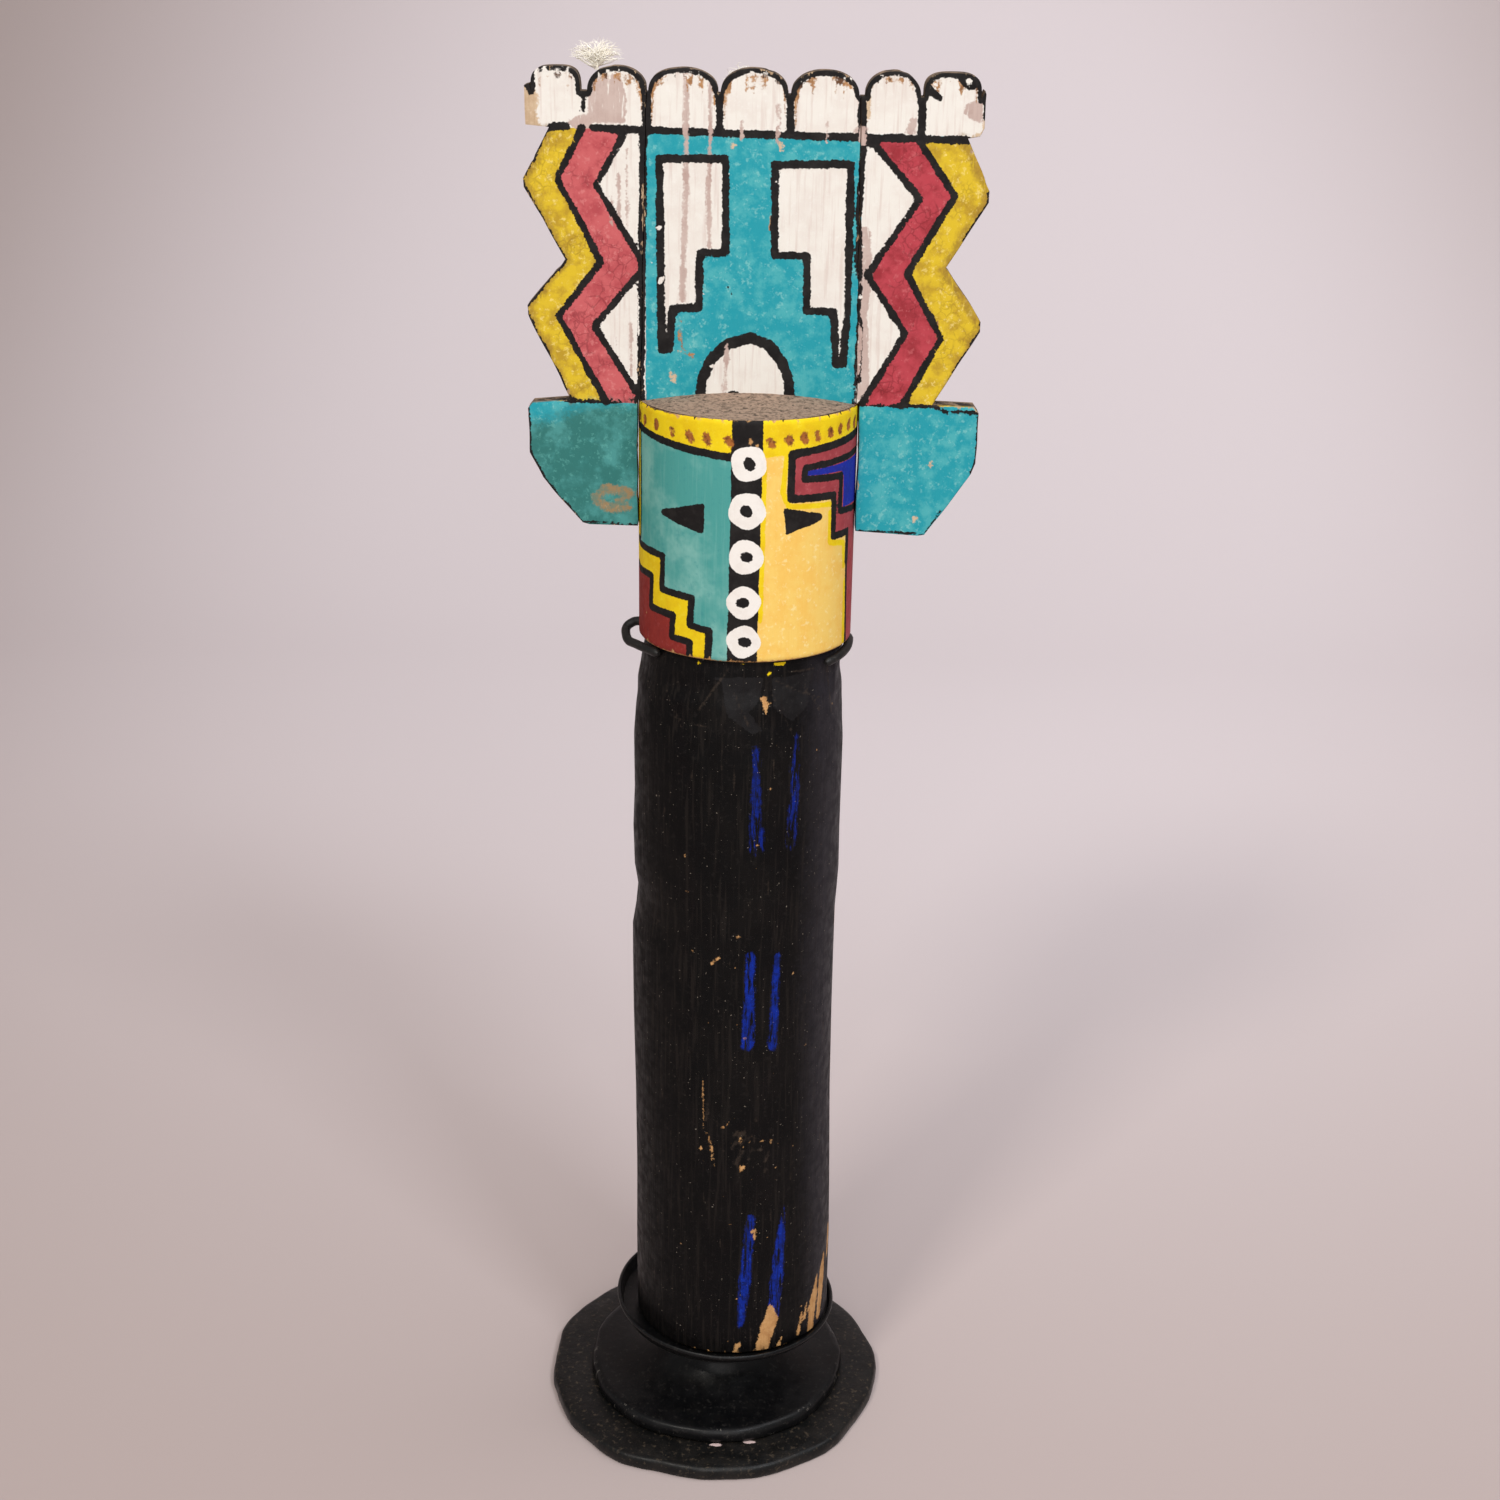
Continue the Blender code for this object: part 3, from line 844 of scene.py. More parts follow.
@dataclass(frozen=True)
class PaintedWood:
    """A painted wooden surface: coats laid in order on a ground colour, worn to bare wood."""

    name: str
    ground: Pigment
    coats: tuple[Coat, ...]
    roughness: float = 0.72
    flake_share: float = 0.06
    relief: float = 0.00022
    sheen: float = 0.2
    dust: float = 0.02

    def build(self, effects: Effects) -> bpy.types.Material:
        """Build the material.

        Args:
            effects: The shared node groups.

        Returns:
            The material, for a mesh that stores the coats' layers, `front` and `rim`.
        """
        material, s, shader = start_material(self.name)
        place = s.here()
        colour = self.ground.lay(s, effects, place)
        ink_height = 0.0
        for coat in self.coats:
            mask = coat.mask(s, effects, place)
            colour = s.mix(mask, colour, coat.pigment.lay(s, effects, place))
            if coat.layer == "ink":
                ink_height = mask
        wood = s.place(effects.timber, "Color", Vector=place, Light=WOOD_LIGHT, Dark=WOOD_DARK)
        rim = s.attribute("rim")
        share = s.math("ADD", s.math("MULTIPLY", rim, 0.16), self.flake_share)
        flakes = s.place(effects.flakes, "Mask", Vector=place, Share=share, Scale=330.0)
        colour = s.mix(flakes, colour, wood)
        dust = s.place(effects.dust, "Mask", Vector=place, Share=self.dust)
        colour = s.mix(s.math("MULTIPLY", dust, 0.35), colour, (0.55, 0.47, 0.38))
        unpainted = s.math("SUBTRACT", 1.0, s.attribute("front"), clamp=True)
        colour = s.mix(unpainted, colour, self.unpainted_side(s, effects, place, wood))
        s.feed(shader.inputs["Base Color"], colour)
        gloss = s.remap(s.noise(place, 300.0), 0.3, 0.7, self.roughness - 0.10, self.roughness + 0.12)
        s.feed(shader.inputs["Roughness"], gloss)
        shader.inputs["Specular IOR Level"].default_value = self.sheen
        height = s.place(effects.grain, "Height", Vector=place)
        height = s.math("ADD", height, s.math("MULTIPLY", ink_height, 0.28))
        height = s.math("SUBTRACT", height, s.math("MULTIPLY", flakes, 0.45))
        bump = s.add("ShaderNodeBump")
        bump.inputs["Strength"].default_value = 0.55
        bump.inputs["Distance"].default_value = self.relief
        s.feed(bump.inputs["Height"], height)
        s.feed(shader.inputs["Normal"], bump.outputs["Normal"])
        return material

    @staticmethod
    def unpainted_side(s: Sketch, effects: Effects, place: object, wood: object) -> object:
        """Draw the edges and the back: a thin dark wash over aged wood.

        Args:
            s: The material's sketch.
            effects: The shared node groups; not used.
            place: The Object coordinates.
            wood: The bare wood's colour.

        Returns:
            The socket of their colour.
        """
        aged = s.mix(0.55, wood, (0.16, 0.115, 0.085))
        wash = s.remap(s.noise(s.stretch(place, (1.0, 1.0, 0.3)), 240.0, 5.0, 0.7), 0.40, 0.60)
        edge_wash = s.math("MULTIPLY", wash, s.attribute("side"))
        return s.mix(edge_wash, aged, (0.022, 0.018, 0.016))


def zigzag(points: Sequence[Point], inner: float) -> tuple[Point, ...]:
    """Return a painted band's outline: a zigzag edge closed along an upright inner line."""
    return (*points, (inner, points[-1][1]), (inner, points[0][1]))


LEFT_GOLD_EDGE: tuple[Point, ...] = (
    (-46.0, 416.4), (-53.1, 403.2), (-41.3, 380.9), (-53.3, 365.8), (-40.0, 341.6),
)
LEFT_WHITE_EDGE: tuple[Point, ...] = (
    (-34.2, 416.2), (-42.5, 401.5), (-29.9, 381.1), (-30.1, 378.6), (-43.4, 363.2), (-30.2, 342.6),
)
RIGHT_GOLD_EDGE: tuple[Point, ...] = (
    (44.4, 415.4), (55.3, 400.3), (43.2, 379.1), (53.5, 361.6), (43.2, 342.0),
)
RIGHT_WHITE_EDGE: tuple[Point, ...] = (
    (31.0, 415.2), (33.0, 413.4), (45.8, 399.3), (32.2, 378.6), (43.4, 362.6), (32.0, 342.8),
)
ZIGZAG_EDGES = (LEFT_GOLD_EDGE, LEFT_WHITE_EDGE, RIGHT_GOLD_EDGE, RIGHT_WHITE_EDGE)
LEFT_UPPER_RIM: tuple[Point, ...] = ((-55.2, 415.8), (-62.1, 402.8), (-62.0, 400.8), (-50.8, 381.4))
LEFT_LOWER_RIM: tuple[Point, ...] = ((-50.8, 381.4), (-61.8, 368.4), (-61.6, 366.2), (-50.0, 342.6))
LEFT_FIGURE: tuple[Point, ...] = (
    (-25.2, 408.7), (-7.2, 409.0), (-7.0, 384.0), (-14.2, 383.9), (-14.2, 368.7), (-21.5, 368.5),
    (-22.4, 357.2), (-24.7, 357.1),
)
RIGHT_FIGURE: tuple[Point, ...] = (
    (6.1, 407.7), (26.7, 408.1), (27.1, 371.7), (26.6, 353.9), (24.2, 353.8), (23.4, 368.3),
    (15.8, 368.6), (15.4, 383.6), (6.5, 383.4),
)
HALF_DISC: tuple[Point, ...] = (
    (-13.7, 341.5), (-13.2, 348.5), (-11.0, 354.2), (-6.5, 358.6), (0.2, 360.8), (5.4, 358.9),
    (9.4, 354.0), (11.3, 348.5), (11.6, 341.5),
)
CLOUD_TOP_MM = 432.2
VALLEY_MM = 425.9


@dataclass(frozen=True)
class Cloud:
    """One rounded cloud of the headdress's top row, in millimetres."""

    start: float
    end: float
    squareness: float = 2.8
    top: float = CLOUD_TOP_MM

    def crest(self, steps: int) -> tuple[Point, ...]:
        """Draw the cloud's rounded top from its left valley to its right one.

        Args:
            steps: How many straight pieces it has.

        Returns:
            Its points, in millimetres.
        """
        points = []
        for step in range(steps + 1):
            across = -cos(pi * step / steps)
            rise = (1 - abs(across) ** self.squareness) ** (1 / self.squareness)
            x = self.start + (self.end - self.start) * (across + 1) / 2
            points.append((x, VALLEY_MM + (self.top - VALLEY_MM) * rise))
        return tuple(points)


DAB_LOBES = 2
DAB_WOBBLE = 0.4


def dabs(*places: tuple[float, float, float]) -> Marks:
    """Return small ragged dabs, each from its place and radius in millimetres."""
    return tuple(Spot((x, z), radius, DAB_LOBES, DAB_WOBBLE) for x, z, radius in places)


def round_spots(*places: tuple[float, float, float]) -> Marks:
    """Return nearly round spots, each from its place and radius in millimetres."""
    return tuple(Spot((x, z), radius) for x, z, radius in places)


def strokes(*lines: tuple[float, tuple[Point, ...]]) -> Marks:
    """Return brushed lines, each from its width and its points in millimetres."""
    return tuple(Stroke(points, width) for width, points in lines)


LEFT_CLOUDS = (Cloud(-59.8, -46.6, 3.4, 432.2), Cloud(-44.6, -29.1, 2.25, 432.4))
MIDDLE_CLOUDS = (Cloud(-28.5, -9.6, 2.3), Cloud(-8.9, 9.5, 2.15, 432.5), Cloud(10.2, 28.5, 2.2))
RIGHT_CLOUDS = (Cloud(30.2, 44.9, 2.2, 432.4), Cloud(45.8, 61.3, 3.2))
ALL_CLOUDS = LEFT_CLOUDS + MIDDLE_CLOUDS + RIGHT_CLOUDS
CREST_STEPS = 28
INK_CREST_STEPS = 12
CREST_WIDTH = 2.5


@dataclass(frozen=True)
class Weathering:
    """Short upright marks under the clouds' black tops, in millimetres."""

    seed: int
    count: int
    lengths: tuple[float, float]
    widths: tuple[float, float]
    rise: float = 0.0

    def marks(self) -> Marks:
        """Draw the marks of every cloud.

        Returns:
            One tapered mark after another, each running down from the black line.
        """
        rng = Random(self.seed)
        shapes: list[Mark] = []
        for cloud in ALL_CLOUDS:
            middle, half = (cloud.start + cloud.end) / 2, (cloud.end - cloud.start) / 2
            for _ in range(self.count):
                across = rng.uniform(-0.85, 0.85)
                x = middle + across * half
                top = cloud.top - 1.2 - 2.8 * abs(across) ** 3 - rng.uniform(0.0, 0.9) + self.rise
                low = top - rng.uniform(*self.lengths)
                end = (x + rng.uniform(-0.2, 0.2), low)
                shapes.append(Taper((x, top), end, (rng.uniform(*self.widths), 0.1)))
        return tuple(shapes)


CLOUD_DIVIDERS = (-28.8, -9.2, 9.9, 29.2)
DRIPS = Weathering(21, 12, (0.8, 4.6), (0.5, 1.3))
SOOT = Weathering(33, 6, (0.6, 2.2), (0.5, 1.3))
NICKS = Weathering(48, 6, (0.8, 2.0), (0.3, 0.8), 0.5)


def cloud_ink() -> Marks:
    """Draw the black outlines of the cloud row.

    Returns:
        The crests, the lines between the clouds and the single strokes.
    """
    shapes: list[Mark] = []
    for cloud in ALL_CLOUDS:
        shapes.append(Stroke(cloud.crest(INK_CREST_STEPS), CREST_WIDTH))
    for x, width in zip((*CLOUD_DIVIDERS, 45.3), (2.5, 2.1, 2.0, 2.4, 2.1)):
        shapes.append(Stroke(((x, 427.5), (x + 0.2, 416.0)), width))
    single = strokes(
        (1.3, ((-45.6, 428.5), (-45.4, 424.0), (-46.0, 421.0))), (3.4, ((56.4, 431.0), (58.2, 429.6))),
        (2.0, ((47.6, 427.6), (50.0, 425.6))), (0.9, ((62.4, 428.0), (62.3, 420.5))),
        (1.2, ((-61.0, 427.0), (-59.2, 425.4))),
    )
    return (*shapes, *single)


HEADDRESS_PAINTING: Painting = {
    "yellow": (
        Patch(((-70.0, 416.6), (-30.0, 416.6), (-31.0, 341.9), (-70.0, 341.9))),
        Patch(((70.0, 415.4), (30.0, 415.4), (31.0, 342.2), (70.0, 342.2))),
    ),
    "rose": (Patch(zigzag(LEFT_GOLD_EDGE, -29.0)),),
    "crimson": (Patch(zigzag(RIGHT_GOLD_EDGE, 30.0)),),
    "white": (
        Patch(zigzag(LEFT_WHITE_EDGE, -29.0)),
        Patch(zigzag(RIGHT_WHITE_EDGE, 30.0)),
        Patch(((-70.0, 440.0), (70.0, 440.0), (70.0, 415.6), (-70.0, 416.6))),
        Patch(LEFT_FIGURE),
        Patch(RIGHT_FIGURE),
        Patch(HALF_DISC),
    ),
    "wash": (
        *strokes(
            (1.5, ((-18.2, 431.5), (-18.0, 402.0), (-18.4, 388.0), (-18.9, 371.0))),
            (1.3, ((-11.5, 429.0), (-11.6, 410.0), (-11.9, 400.0), (-11.4, 385.0))),
            (1.2, ((-6.2, 359.5), (-6.6, 351.0), (-7.0, 344.5))),
            (0.8, ((-38.6, 398.5), (-38.4, 391.0))), (0.9, ((-36.4, 404.5), (-36.2, 390.0))),
            (0.7, ((-34.0, 411.0), (-33.8, 388.0))), (0.7, ((-37.0, 360.0), (-36.8, 354.0))),
            (0.8, ((-33.2, 364.0), (-33.0, 349.0))), (1.1, ((6.8, 423.0), (6.9, 415.0))),
            (1.0, ((-3.0, 418.6), (-2.9, 414.6))), (0.8, ((20.0, 419.5), (20.1, 415.0))),
        ),
        Patch(((-44.2, 429.2), (-35.8, 430.6), (-34.0, 424.0), (-34.6, 417.8), (-44.4, 417.6))),
        Patch(((-46.8, 419.8), (-43.0, 420.4), (-43.6, 416.2), (-48.0, 416.4), (-50.2, 417.8))),
        Patch(((57.4, 424.6), (61.8, 425.2), (61.9, 419.4), (58.6, 420.4), (56.4, 421.8))),
        Patch(((42.4, 420.6), (44.2, 420.8), (43.8, 416.0), (40.8, 416.2))),
        Patch(((27.6, 418.4), (31.4, 418.2), (30.4, 415.4), (27.0, 415.6))),
        Patch(((29.6, 392.0), (32.4, 391.4), (33.6, 379.0), (32.8, 368.0), (34.2, 343.8), (30.6, 343.8))),
    ),
    "ink": (
        *cloud_ink(),
        Stroke(((-54.6, 416.5), (-50.4, 416.7)), 2.2),
        Stroke(((-43.2, 416.5), (-30.0, 416.2), (-14.0, 415.8), (2.0, 415.5), (29.0, 415.2)), 2.1),
        Stroke(((29.0, 415.2), (58.0, 415.0)), 2.2),
        *(Stroke(edge, 1.9) for edge in ZIGZAG_EDGES),
        Stroke(((-29.6, 415.6), (-30.4, 342.0)), 2.1),
        Stroke(((30.2, 415.4), (29.3, 395.0), (30.2, 378.0)), 1.7),
        Stroke(((30.5, 378.0), (29.8, 342.0)), 0.9),
        Stroke(((30.9, 366.6), (31.2, 358.0), (30.9, 349.0)), 1.1),
        Stroke(LEFT_FIGURE, 2.2, True),
        Stroke(RIGHT_FIGURE, 2.15, True),
        Stroke(LEFT_UPPER_RIM, 0.75),
        Stroke(LEFT_LOWER_RIM, 0.75),
        Stroke(HALF_DISC, 3.0),
        *strokes(
            (0.5, ((64.6, 401.4), (64.4, 398.8), (58.0, 388.0))),
            (0.5, ((64.2, 366.0), (64.0, 363.6), (56.0, 350.0))),
            (0.9, ((-7.6, 344.6), (-4.4, 345.2), (-1.6, 344.6))),
            (1.2, ((-52.0, 342.2), (-43.0, 342.0), (-30.0, 342.4))),
            (1.0, ((32.0, 342.6), (43.0, 342.2), (53.0, 342.3))),
            (0.9, ((-62.3, 339.6), (-62.1, 327.0), (-58.4, 319.9), (-47.3, 306.8), (-31.0, 306.2))),
            (0.7, ((65.2, 341.4), (65.0, 326.0), (63.6, 323.0))),
            (0.6, ((56.0, 312.2), (51.2, 304.9), (31.0, 305.8))),
            (1.3, ((53.5, 341.8), (56.0, 340.6), (64.6, 340.8))),
            (0.6, ((-6.4, 374.6), (-5.0, 372.4))),
        ),
    ),
    "drips": (
        *DRIPS.marks(),
        *(Taper((x + 1.5, 428.6), (x + 1.2, 417.5), (1.9, 0.5)) for x in CLOUD_DIVIDERS),
        *(Taper((x - 1.4, 428.2), (x - 1.2, 421.0), (1.3, 0.3)) for x in CLOUD_DIVIDERS),
        Stroke(((-19.4, 366.5), (-19.6, 361.0), (-18.6, 357.0), (-16.0, 355.4)), 0.9),
        Stroke(((4.9, 396.0), (5.3, 390.5)), 0.5),
        Stroke(((-5.8, 410.0), (-5.6, 404.0)), 0.4),
        Stroke(((52.4, 366.0), (52.0, 358.0)), 0.8),
    ),
    "soot": SOOT.marks(),
    "grime": (
        Stroke(LEFT_UPPER_RIM, 3.0),
        Stroke(LEFT_LOWER_RIM, 2.6),
        Stroke(((57.0, 415.0), (64.6, 401.4), (64.4, 398.8), (53.6, 380.6)), 3.0),
        Stroke(((53.6, 380.6), (64.2, 366.0), (64.0, 363.6), (54.0, 343.0)), 3.0),
    ),
    "streaks": (
        *strokes(
            (1.5, ((-18.2, 418.0), (-18.1, 413.6))), (1.4, ((-11.5, 418.0), (-11.6, 413.0))),
            (1.3, ((-18.1, 406.4), (-18.0, 402.6))), (1.4, ((-11.7, 406.2), (-11.8, 401.6))),
            (0.9, ((-18.9, 373.0), (-18.8, 370.6))), (1.3, ((6.8, 417.6), (6.9, 413.6))),
            (1.1, ((-3.0, 417.2), (-2.9, 414.2))), (0.8, ((20.1, 417.0), (20.1, 413.4))),
            (1.1, ((-6.2, 358.4), (-6.5, 352.8))),
        ),
        Patch(((28.2, 418.0), (30.6, 418.2), (30.4, 413.2), (28.8, 413.6))),
        Patch(((30.3, 366.0), (31.6, 362.0), (31.2, 352.0), (30.3, 350.0))),
    ),
    "nicks": (
        *NICKS.marks(),
        *(Taper((x, 427.8), (x + 0.2, 432.2), (1.0, 0.5)) for x in (-58.2, -56.0, -53.7, -51.6, -49.8)),
        *dabs(
            (-10.4, 352.6, 0.6), (-12.0, 349.6, 0.5), (6.6, 403.4, 0.5), (-25.4, 390.3, 0.6),
            (-24.7, 376.2, 0.8), (-27.0, 380.5, 0.5), (-24.9, 384.6, 0.45), (-8.5, 391.3, 0.6),
            (-6.3, 405.3, 0.5), (-13.1, 372.8, 0.5), (31.0, 386.0, 0.6), (30.6, 372.6, 0.5),
            (30.9, 354.0, 0.6),
        ),
        *strokes((0.3, ((-30.6, 404.0), (-30.9, 392.0))), (0.3, ((-30.9, 372.0), (-31.0, 361.0)))),
    ),
    # the left ear's darker green, partly its own paint and partly painted shade
    "ear": (
        Patch((
            (-70.0, 334.0), (-56.0, 336.5), (-47.0, 341.0), (-30.0, 341.6), (-30.0, 300.0), (-70.0, 300.0),
        )),
    ),
    "rubbed": (
        Stroke(((-34.0, 311.4), (-40.0, 311.2), (-43.6, 313.6), (-40.6, 316.6), (-35.0, 316.4)), 2.4),
        Stroke(((-36.5, 313.0), (-33.0, 315.4)), 1.6),
    ),
    "bare": (
        Patch((
            (-62.4, 427.4), (-58.8, 427.2), (-57.8, 424.2), (-58.4, 420.4), (-57.0, 416.0), (-62.4, 416.0),
        )),
        Stroke(((30.6, 427.0), (30.8, 421.0)), 1.6),
        Stroke(((62.7, 428.0), (62.6, 417.2), (58.4, 415.2)), 0.9),
        Spot((-21.4, 349.4), 1.1, DAB_LOBES, DAB_WOBBLE),
        Spot((7.6, 412.8), 1.0, DAB_LOBES, 0.5),
        *round_spots((-19.6, 356.4, 0.8), (-5.4, 412.4, 0.7), (52.2, 325.6, 0.7), (48.6, 309.4, 0.8)),
    ),
}

BOARD_COATS = (
    Coat("yellow", WING_YELLOW, 0.4),
    Coat("rose", ROSE_RED),
    Coat("crimson", DEEP_RED),
    Coat("white", CHALK_WHITE),
    Coat("wash", PINK_WASH, 1.4, 0.25, 0.15, 0.9),
    Coat("grime", GRIME_BROWN, 2.2, 0.9, 0.3, 0.6),
    Coat("drips", DRIP_BROWN, 1.3, 0.2, 0.1),
    Coat("soot", SOOT_BROWN, 1.3, 0.2),
    # left ear: darker green paint with painted shade
    Coat("ear", EAR_GREEN_AND_SHADE, 5.0, 3.0),
    Coat("rubbed", RUBBED_BROWN, 2.4, 0.5),
    Coat("bare", PALE_WOOD, 2.0, 0.3),
    Coat("ink", BRUSH_BLACK, 1.1, 0.10),
    Coat("streaks", PINK_WASH, 1.4, 0.15),
    Coat("nicks", CHALK_WHITE, 1.2, 0.12),
)

BAND_BLACK: tuple[Point, ...] = (
    (-44.0, 335.7), (-36.0, 335.1), (-25.5, 334.2), (-13.4, 332.9), (-4.4, 332.0),
)
STEPS_UPPER: tuple[Point, ...] = (
    (-43.4, 302.2), (-41.0, 301.0), (-26.2, 300.9), (-26.6, 290.9), (-15.6, 290.5), (-16.2, 282.3),
    (-10.1, 281.4), (-10.6, 272.0),
)
STEPS_LOWER: tuple[Point, ...] = (
    (-43.4, 294.6), (-41.0, 293.4), (-31.6, 293.8), (-32.2, 284.3), (-22.1, 284.1), (-22.5, 277.6),
    (-16.1, 277.2), (-16.4, 272.0),
)
KEY_OUTER: tuple[Point, ...] = (
    (48.5, 335.4), (36.0, 334.4), (25.0, 333.6), (12.6, 332.8), (12.6, 320.1), (27.8, 319.2),
    (27.9, 307.2), (35.8, 306.9), (35.8, 298.2), (37.0, 276.6), (37.0, 272.0),
)
KEY_INNER: tuple[Point, ...] = (
    (48.0, 330.0), (36.0, 329.2), (16.8, 328.6), (16.6, 325.3), (31.0, 324.2), (30.9, 314.0),
    (39.0, 313.0), (48.0, 312.8),
)
DOT_PLACES: tuple[Point, ...] = (
    (-41.6, 338.2), (-36.2, 338.0), (-29.5, 338.0), (-22.7, 337.4), (-16.5, 336.9), (-11.3, 336.6),
    (-5.1, 336.5), (0.7, 336.5), (6.5, 336.5), (11.9, 336.6), (16.4, 337.0), (20.8, 337.2),
    (25.6, 337.4), (30.0, 337.7), (34.6, 338.0), (39.4, 338.0),
)
RINGS: tuple[Spot, ...] = (
    Spot((0.5, 330.4), 5.0, 4, 0.05), Spot((0.2, 317.0), 5.2, 5, 0.03), Spot((0.1, 303.7), 4.9, 3, 0.03),
    Spot((-0.4, 290.4), 4.8, 4, 0.03), Spot((-0.2, 278.8), 4.8, 4, 0.04),
)
LOG_FOOT = 32.9
HEAD_LOW = 272.6
HEAD_HIGH = 342.4

HEAD_PAINTING: Painting = {
    "gold": (Patch(((2.0, 345.0), (60.0, 345.0), (60.0, 270.0), (2.0, 270.0))),),
    "yellow": (
        Patch((
            (-60.0, 345.0), (60.0, 345.0), (60.0, 334.6), (25.0, 334.0), (4.0, 332.0), *BAND_BLACK[::-1],
        )),
        Patch((*STEPS_UPPER, *STEPS_LOWER[::-1])),
        Patch(((-46.0, 345.0), (-40.8, 345.0), (-40.6, 303.0), (-41.2, 294.0), (-46.3, 294.0))),
        Stroke(((4.9, 330.0), (4.6, 300.0), (4.4, 285.0)), 1.4),
        Stroke(((11.2, 334.0), (10.2, 322.0), (12.0, 318.0), (27.0, 316.8)), 1.6),
        Stroke(((26.4, 314.5), (26.5, 305.6), (33.6, 304.0), (34.2, 297.0)), 1.8),
        Stroke(((35.2, 292.0), (35.6, 274.0)), 2.2),
    ),
    "maroon": (Patch((*STEPS_LOWER, (-60.0, 270.0), (-60.0, 294.6))),),
    "wine": (Patch((*KEY_OUTER, (60.0, 270.0), (60.0, 335.4))),),
    "blue": (
        Patch((
            (17.5, 327.7), (36.0, 328.0), (60.0, 328.8), (60.0, 313.5), (32.5, 314.8), (32.5, 323.6),
            (31.5, 325.6), (17.5, 326.2),
        )),
    ),
    "ink": (
        Patch(((-4.2, 345.0), (4.4, 345.0), (3.8, 290.0), (3.7, 270.0), (-5.0, 270.0), (-4.6, 300.0))),
        *(Stroke(line, 2.2) for line in (BAND_BLACK, STEPS_UPPER, STEPS_LOWER)),
        Stroke(KEY_OUTER[:9], 2.3),
        Stroke(KEY_OUTER[8:], 1.5),
        Stroke(KEY_INNER, 2.0),
        Patch((
            (-27.6, 313.2), (-26.4, 314.6), (-12.6, 318.4), (-11.8, 317.8), (-12.0, 309.9), (-13.2, 309.7),
        )),
        Patch(((10.4, 317.5), (11.4, 317.6), (22.0, 315.0), (23.4, 314.0), (22.8, 312.8), (11.4, 310.1))),
        *strokes(
            (1.3, ((-40.2, 334.0), (-39.8, 320.0), (-40.4, 303.0))),
            (0.8, ((-47.0, 340.0), (-46.8, 300.0))),
            (0.9, ((-44.0, 343.0), (-30.0, 342.6), (-18.0, 342.9))),
            (0.8, ((24.0, 342.9), (38.0, 342.6), (46.0, 342.4))),
            (0.7, ((6.0, 272.4), (20.0, 272.6), (34.0, 272.4))),
        ),
    ),
    "white": RINGS,
    "pupil": tuple(
        Spot((ring.centre[0] + 0.2 * (-1) ** i, ring.centre[1]), 1.75, DAB_LOBES, 0.14)
        for i, ring in enumerate(RINGS)
    ),
    "dots": tuple(Spot(place, 1.45, 2, 0.25) for place in DOT_PLACES if not -4.0 < place[0] < 4.0),
    "bare": (
        Stroke(((-50.0, 272.5), (50.0, 272.5)), 0.7),
        Stroke(((-50.0, 342.6), (50.0, 342.6)), 0.3),
        *(
            Taper((s, 342.7), (s + 0.3, 341.9 - 0.7 * abs(sin(3.7 * s))), (1.3, 0.3))
            for s in range(-42, 43, 7)
        ),
        *(Taper((s, 272.2), (s, 273.0 + 0.8 * abs(sin(2.9 * s))), (1.6, 0.3)) for s in range(-40, 43, 6)),
        *dabs((0.9, 336.6, 0.9)),
        *round_spots((2.6, 335.4, 0.6), (-34.9, 281.6, 0.5)),
    ),
    "crack": (
        *(
            Taper((s, 342.7), (s - 0.2, 342.1 - 1.1 * abs(sin(1.9 * s))), (0.9, 0.2))
            for s in range(-40, 42, 5)
        ),
        Stroke(((-38.9, 342.4), (-39.3, 336.0), (-39.0, 331.0)), 0.45),
        Stroke(((-47.4, 342.0), (-47.2, 296.0)), 0.35),
    ),
}


def body_scuffs() -> Marks:
    """Draw the pale knife scratches of the shoulder and the small scuffs of the body.

    Returns:
        The scratches and scuffs.
    """
    rng = Random(12)
    scratches = strokes(
        (0.6, ((-4.0, 270.4), (-12.0, 257.0))), (0.5, ((-1.6, 262.6), (3.4, 252.6))),
        (0.45, ((10.2, 266.4), (18.0, 262.4), (27.4, 258.4))), (0.35, ((12.6, 268.6), (24.6, 267.8))),
        (0.4, ((16.4, 250.4), (9.4, 262.8))), (0.5, ((21.0, 263.4), (27.0, 254.6))),
        (0.35, ((-22.0, 253.6), (-8.6, 252.2))), (0.45, ((-25.0, 262.0), (-17.0, 250.0))),
        (0.6, ((30.4, 268.0), (33.6, 252.0))),
    )
    shapes: list[Mark] = list(scratches)
    for _ in range(70):
        s, z = rng.uniform(-40.0, 42.0), rng.uniform(40.0, 250.0)
        end = (s + rng.uniform(-0.8, 0.8), z - rng.uniform(1.0, 9.0))
        shapes.append(Stroke(((s, z), end), rng.uniform(0.2, 0.45)))
    for _ in range(40):
        s, z = rng.gauss(4.5, 4.5), rng.gauss(112.0, 5.5)
        shapes.append(Spot((s, z), rng.uniform(0.2, 0.9), 3, 0.3))
    return tuple(shapes)


def body_specks() -> Marks:
    """Draw the tiny specks of bare wood on the body and along its lower arris.

    Returns:
        The specks.
    """
    rng = Random(5)
    speck_wobble = 0.35
    shapes: list[Mark] = []
    for _ in range(48):
        s, z = rng.gauss(6.0, 18.0), rng.uniform(38.0, 255.0)
        shapes.append(Spot((s, z), rng.uniform(0.15, 0.34), DAB_LOBES, speck_wobble))
    for _ in range(26):
        s, z = rng.uniform(-8.0, 22.0), rng.uniform(93.0, 124.0)
        shapes.append(Spot((s, z), rng.uniform(0.14, 0.32), DAB_LOBES, speck_wobble))
    for _ in range(26):
        s = rng.uniform(-17.0, 20.0)
        shapes.append(Taper((s, 32.6), (s + rng.uniform(-0.4, 0.4), rng.uniform(33.4, 34.8)), (1.1, 0.2)))
    return tuple(shapes)


